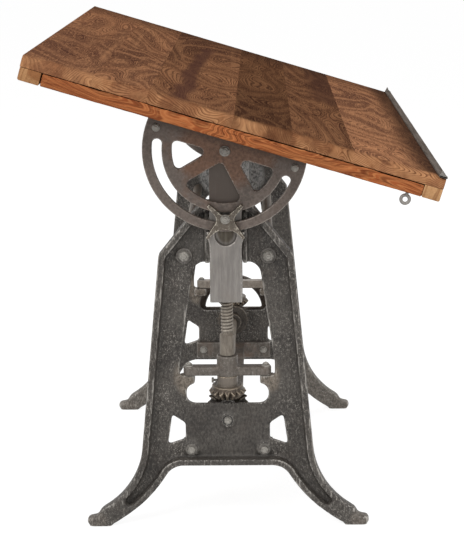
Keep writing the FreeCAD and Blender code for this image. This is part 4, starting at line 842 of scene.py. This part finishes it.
boltGroup, boltNames = makeBoltGroup()
seatGroup, seatNames = makeSeatGroup()
boltSteel = finishes["bolt_steel"]
for nodeName, size in boltSets.items():
    points, turns = boltPlaces(size)
    values = {"radius": size["radius"], "height": size["height"] * boltShape["headShare"],
              "washer": size["washer"], "washerHeight": size.get("washerHeight", boltShape["washerHeight"]),
              "stub": size["stub"], "stubHeight": boltShape["stubHeight"], "finish": boltSteel}
    mesh = grown(points, boltGroup, boltNames, values, turns)
    keepPiece(camel(nodeName) + "Heads", mesh, boltSteel, bodyOf[nodeName], [nodeName], sharp=30.0)
    if "seat" in size:
        high = seatShape["high"]
        sunk = [Vector((spot.x, spot.y - math.copysign(high, spot.y), spot.z)) for spot in points]
        seat = seatFinishes[nodeName]
        values = {"radius": size["seat"], "high": high, "finish": seat}
        mesh = grown(sunk, seatGroup, seatNames, values, turns)
        keepPiece(camel(nodeName) + "Seats", mesh, seat, bodyOf[nodeName], sharp=30.0)
print("bolt sets made:", len(boltSets))


# timber and ledge of the top: a section with rounded corners, swept along x (0) or y (1) with uneven edges;
# radii start at the lower left corner and go round by the right, wobble is left, right, bottom and top
topSizes = {"half": 0.457, "length": 0.686, "boardLow": 0.090, "boardHigh": 0.114, "railLow": 0.062,
            "frontWidth": 0.040, "backWidth": 0.046, "cleatWidth": 0.060, "cleatBackGap": 0.0004,
            "cleatFrontGap": 0.0003, "seam": 0.00004, "kerf": 0.0026,
            "ledgeWidth": 0.0185, "ledgeThick": 0.004, "ledgeOverhang": 0.0015,
            "shares": (0.0, 0.17, 0.305, 0.515, 0.66, 0.814, 1.0)}
boardSize = {"along": 0, "steps": 30, "radii": (0.0016, 0.0016, 0.0040, 0.0095),
             "wobble": (0.0012, 0.0005, 0.0, 0.0), "seed": 5.0, "chamfer": 0.00008}
lathSizes = {
    "board": boardSize,
    "edgeStrip": {**boardSize, "steps": 12},
    "frontRail": {"along": 1, "steps": 60, "radii": (0.003, 0.003, 0.0012, 0.0012),
                  "wobble": (0.0003, 0.0008, 0.0008, 0.0004), "seed": 83.0, "chamfer": 0.0006},
    "backRail": {"along": 1, "steps": 60, "radii": (0.004, 0.002, 0.0012, 0.0012),
                 "wobble": (0.0012, 0.0002, 0.0010, 0.0008), "seed": 97.0, "chamfer": 0.0006},
    "cleat": {"along": 0, "steps": 110, "radii": (0.003, 0.003, 0.0012, 0.0012),
              "wobble": (0.0006, 0.0006, 0.0008, 0.0040), "seed": 113.0, "chamfer": 0.0018},
    "ledge": {"along": 1, "steps": 80, "radii": (0.0004, 0.0008, 0.0014, 0.0010),
              "wobble": (0.0004, 0.0004, 0.0, 0.0003), "seed": 131.0, "chamfer": 0.0006},
}
edgeWear = {"wave": 22.0, "waveStep": 7.3, "waveSeed": 3.1, "waveShare": 0.6,
            "fine": 95.0, "fineStep": 5.9, "fineSeed": 1.7, "fineShare": 0.35, "mean": 0.5,
            "corner": 30.0, "cornerStep": 3.3, "cornerSeed": 4.2, "cornerShare": 0.35, "cornerFaces": 5}


def lath(low, high, size, seedShift=0.0, kerf=0.0):
    w = edgeWear
    along, steps, chamfer = size["along"], size["steps"], size["chamfer"]
    radii, wobble = size["radii"], size["wobble"]
    seed = size["seed"] + seedShift
    across = 1 - along
    start, end = low[along], high[along]
    inner = end - start - 2 * chamfer
    stations = [start] + [start + chamfer + inner * i / steps for i in range(steps + 1)] + [end]

    def drift(place, trim, side):
        wave = noise.noise(Vector((place * w["wave"], side * w["waveStep"] + seed, seed * w["waveSeed"])))
        fine = noise.noise(Vector((place * w["fine"], side * w["fineStep"] + seed, seed * w["fineSeed"])))
        return trim + wobble[side] * (w["mean"] + w["waveShare"] * wave + w["fineShare"] * fine)

    shell = bmesh.new()
    rings = []
    for index, place in enumerate(stations):
        trim = chamfer if index in (0, len(stations) - 1) else 0.0
        left, right = low[across] + drift(place, trim, 0), high[across] - drift(place, trim, 1)
        bottom, top = low[2] + drift(place, trim, 2), high[2] - drift(place, trim, 3)
        corners = ((left, bottom, 1, 1, radii[0], 2), (right, bottom, -1, 1, radii[1], 3),
                   (right, top, -1, -1, radii[2], 0), (left, top, 1, -1, radii[3], 1))
        ring = []
        for u, v, inU, inV, radius, quadrant in corners:
            lump = Vector((place * w["corner"], quadrant * w["cornerStep"] + seed, w["cornerSeed"]))
            worn = radius * (1.0 + w["cornerShare"] * noise.noise(lump))
            for count in range(w["cornerFaces"] + 1):
                angle = quarter * (quadrant + count / w["cornerFaces"])
                spot = [0.0, 0.0, v + inV * worn + worn * math.sin(angle)]
                spot[along] = place
                spot[across] = u + inU * worn + worn * math.cos(angle)
                if index < 2:
                    spot[along] += kerf * (high[across] - spot[across]) / (high[across] - low[across])
                ring.append(shell.verts.new(topPlace @ Vector(spot)))
        rings.append(ring)
    total = len(rings[0])
    for before, after in zip(rings, rings[1:]):
        for count in range(total):
            follower = (count + 1) % total
            shell.faces.new((before[count], before[follower], after[follower], after[count]))
    shell.faces.new(rings[0])
    shell.faces.new(list(reversed(rings[-1])))
    bmesh.ops.recalc_face_normals(shell, faces=shell.faces)
    return meshFrom(shell, "lath")


def topTimber():
    t = topSizes
    length = t["length"]
    width = 2 * t["half"] - t["frontWidth"]
    front = t["half"] - t["frontWidth"]
    back = -t["half"] + t["backWidth"]
    for count, (share, after) in enumerate(zip(t["shares"], t["shares"][1:]), start=1):
        left = -t["half"] + share * width + (t["seam"] if count > 1 else 0.0)
        right = -t["half"] + after * width - t["seam"]
        mesh = lath((left, -length, t["boardLow"]), (right, length, t["boardHigh"]), lathSizes["board"])
        node = "top_board_%d" % count
        keepPiece("board%d" % count, mesh, boardFinishes[count - 1], "top", [node], sharp=40.0)
    mesh = lath((front + t["seam"], -length, t["boardLow"]), (t["half"], length, t["boardHigh"]),
                lathSizes["edgeStrip"])
    keepPiece("boardEdgeStrip", mesh, boardFinishes[5], "top", sharp=40.0)
    mesh = lath((front, -length, t["railLow"]), (t["half"], length, t["boardLow"]), lathSizes["frontRail"])
    keepPiece("frontRail", mesh, finishes["rail_wood"], "top", ["front_rail"], sharp=40.0)
    mesh = lath((-t["half"], -length, t["railLow"]), (back, length, t["boardLow"]), lathSizes["backRail"])
    keepPiece("backRail", mesh, finishes["rail_wood"], "top", ["back_rail"], sharp=40.0)
    left, right = back + t["cleatBackGap"], front - t["cleatFrontGap"]
    for end, low, high, kerf in (("near", -length, -length + t["cleatWidth"], t["kerf"]),
                                 ("far", length - t["cleatWidth"], length, 0.0)):
        mesh = lath((left, low, t["railLow"]), (right, high, t["boardLow"]), lathSizes["cleat"], low, kerf)
        keepPiece(end + "EndCleat", mesh, finishes["cleat_wood"], "top", [end + "_end_cleat"], sharp=40.0)


# the steel ledge: a flat strip with a tapered stop at each end
stopSizes = {"thick": 0.003, "height": 0.011, "lean": 0.003, "heel": 0.0004, "foot": 0.001, "tip": 0.0022,
             "tipDrop": 0.0004, "waist": 0.006, "waistShare": 0.42, "toe": 0.0006}


def steelLedge():
    t = topSizes
    s = stopSizes
    right = t["half"] + t["ledgeOverhang"]
    left = right - t["ledgeWidth"]
    seat, face = t["boardHigh"], t["boardHigh"] + t["ledgeThick"]
    mesh = lath((left, -t["length"], seat), (right, t["length"], face), lathSizes["ledge"])
    keepPiece("steelLedge", mesh, finishes["ledge_steel"], "top", ["steel_ledge"], sharp=40.0)
    tip = left + s["lean"]
    outline = [(left + s["heel"], seat + s["foot"]), (tip, face + s["height"]),
               (tip + s["tip"], face + s["height"] - s["tipDrop"]),
               (tip + s["waist"], face + s["height"] * s["waistShare"]),
               (right - s["toe"], face + s["toe"]), (right - s["toe"], seat + s["foot"])]
    shell = bmesh.new()
    for outer in (-t["length"], t["length"]):
        inner = outer + math.copysign(s["thick"], -outer)
        rings = [[shell.verts.new(topPlace @ Vector((x, y, z))) for x, z in outline] for y in (outer, inner)]
        for count in range(len(outline)):
            after = (count + 1) % len(outline)
            shell.faces.new((rings[0][count], rings[0][after], rings[1][after], rings[1][count]))
        shell.faces.new(rings[0])
        shell.faces.new(list(reversed(rings[1])))
    bmesh.ops.recalc_face_normals(shell, faces=shell.faces)
    keepPiece("ledgeStops", meshFrom(shell, "ledgeStops"), boltSteel, "top", sharp=30.0)


topTimber()
steelLedge()
print("top made")

for name, node in nodes.items():
    node.data.materials.clear()
    node.data.materials.append(finishes.get(slotOf[name], boardFinishes[0]))


# stage: pale floor that keeps a soft shadow, white beyond it, three soft lamps and the photograph's view
white = (1.0, 1.0, 1.0)
stageLook = {"floorSize": 60.0, "floorTone": 0.80, "floorRough": 0.9, "seenTone": 0.26, "seenGlow": 0.86,
             "world": 0.50}
viewLook = {"at": (0.0515, -3.708, 1.4756), "pitch": math.radians(75.705), "turn": -0.016, "lens": 98.398,
            "shiftX": -0.0943, "sensor": 36.0, "reach": 100.0}
lampAim = Vector((0.0, 0.0, 0.65))
lampLook = {"keyLight": {"at": (-2.2, -3.0, 3.6), "size": 2.6, "power": 125.0},
            "fillLight": {"at": (3.0, -2.6, 2.2), "size": 2.4, "power": 50.0},
            "backLight": {"at": (0.5, 3.2, 3.4), "size": 2.6, "power": 55.0}}


def seenRays(tree):
    path = tree.add("ShaderNodeLightPath", out="Is Camera Ray")
    return path.larger(path.other("Is Glossy Ray")).larger(path.other("Is Transmission Ray"))


def makeWorld():
    world = bpy.data.worlds.new("studio")
    scene.world = world
    world.use_nodes = True
    tree = Tree(world.node_tree)
    soft = tree.add("ShaderNodeBackground", {}, {"Color": white, "Strength": stageLook["world"]})
    beyond = tree.add("ShaderNodeBackground", {}, {"Color": white, "Strength": 1.0})
    mix = tree.add("ShaderNodeMixShader", {}, {0: seenRays(tree), 1: soft, 2: beyond})
    tree.add("ShaderNodeOutputWorld", {}, {"Surface": mix})


def makeFloor():
    half = stageLook["floorSize"] / 2
    corners = [(-half, -half, 0), (half, -half, 0), (half, half, 0), (-half, half, 0)]
    mesh = bpy.data.meshes.new("floor")
    mesh.from_pydata(corners, [], [(0, 1, 2, 3)])
    floor = bpy.data.objects.new("floor", mesh)
    scene.collection.objects.link(floor)
    f = Finish("paleFloor")
    seen = seenRays(f)
    tone = f.blend(seen, (stageLook["floorTone"],) * 3, (stageLook["seenTone"],) * 3)
    f.set(colour=tone, rough=stageLook["floorRough"], spec=0.0)
    glow = f.add("ShaderNodeEmission", {}, {"Color": white, "Strength": seen * stageLook["seenGlow"]})
    join = f.add("ShaderNodeAddShader", {}, {0: Wire(f.shader.outputs[0]), 1: glow})
    plug(f.output.inputs["Surface"], join)
    mesh.materials.append(f.material)


def makeLamps():
    for name, look in lampLook.items():
        data = bpy.data.lights.new(name, "AREA")
        data.shape = "DISK"
        data.size = look["size"]
        data.energy = look["power"]
        lamp = bpy.data.objects.new(name, data)
        lamp.location = look["at"]
        lamp.rotation_euler = (lampAim - Vector(look["at"])).to_track_quat("-Z", "Y").to_euler()
        scene.collection.objects.link(lamp)


def makeView():
    view = bpy.data.cameras.new("photoView")
    view.sensor_fit = "VERTICAL"
    view.sensor_height = viewLook["sensor"]
    view.lens = viewLook["lens"]
    view.shift_x = viewLook["shiftX"]
    view.clip_end = viewLook["reach"]
    camera = bpy.data.objects.new("photoView", view)
    camera.location = viewLook["at"]
    camera.rotation_euler = (viewLook["pitch"], 0.0, viewLook["turn"])
    scene.collection.objects.link(camera)
    scene.camera = camera


scene.view_settings.view_transform = "Standard"
makeWorld()
makeFloor()
makeLamps()
makeView()
print("stage made")
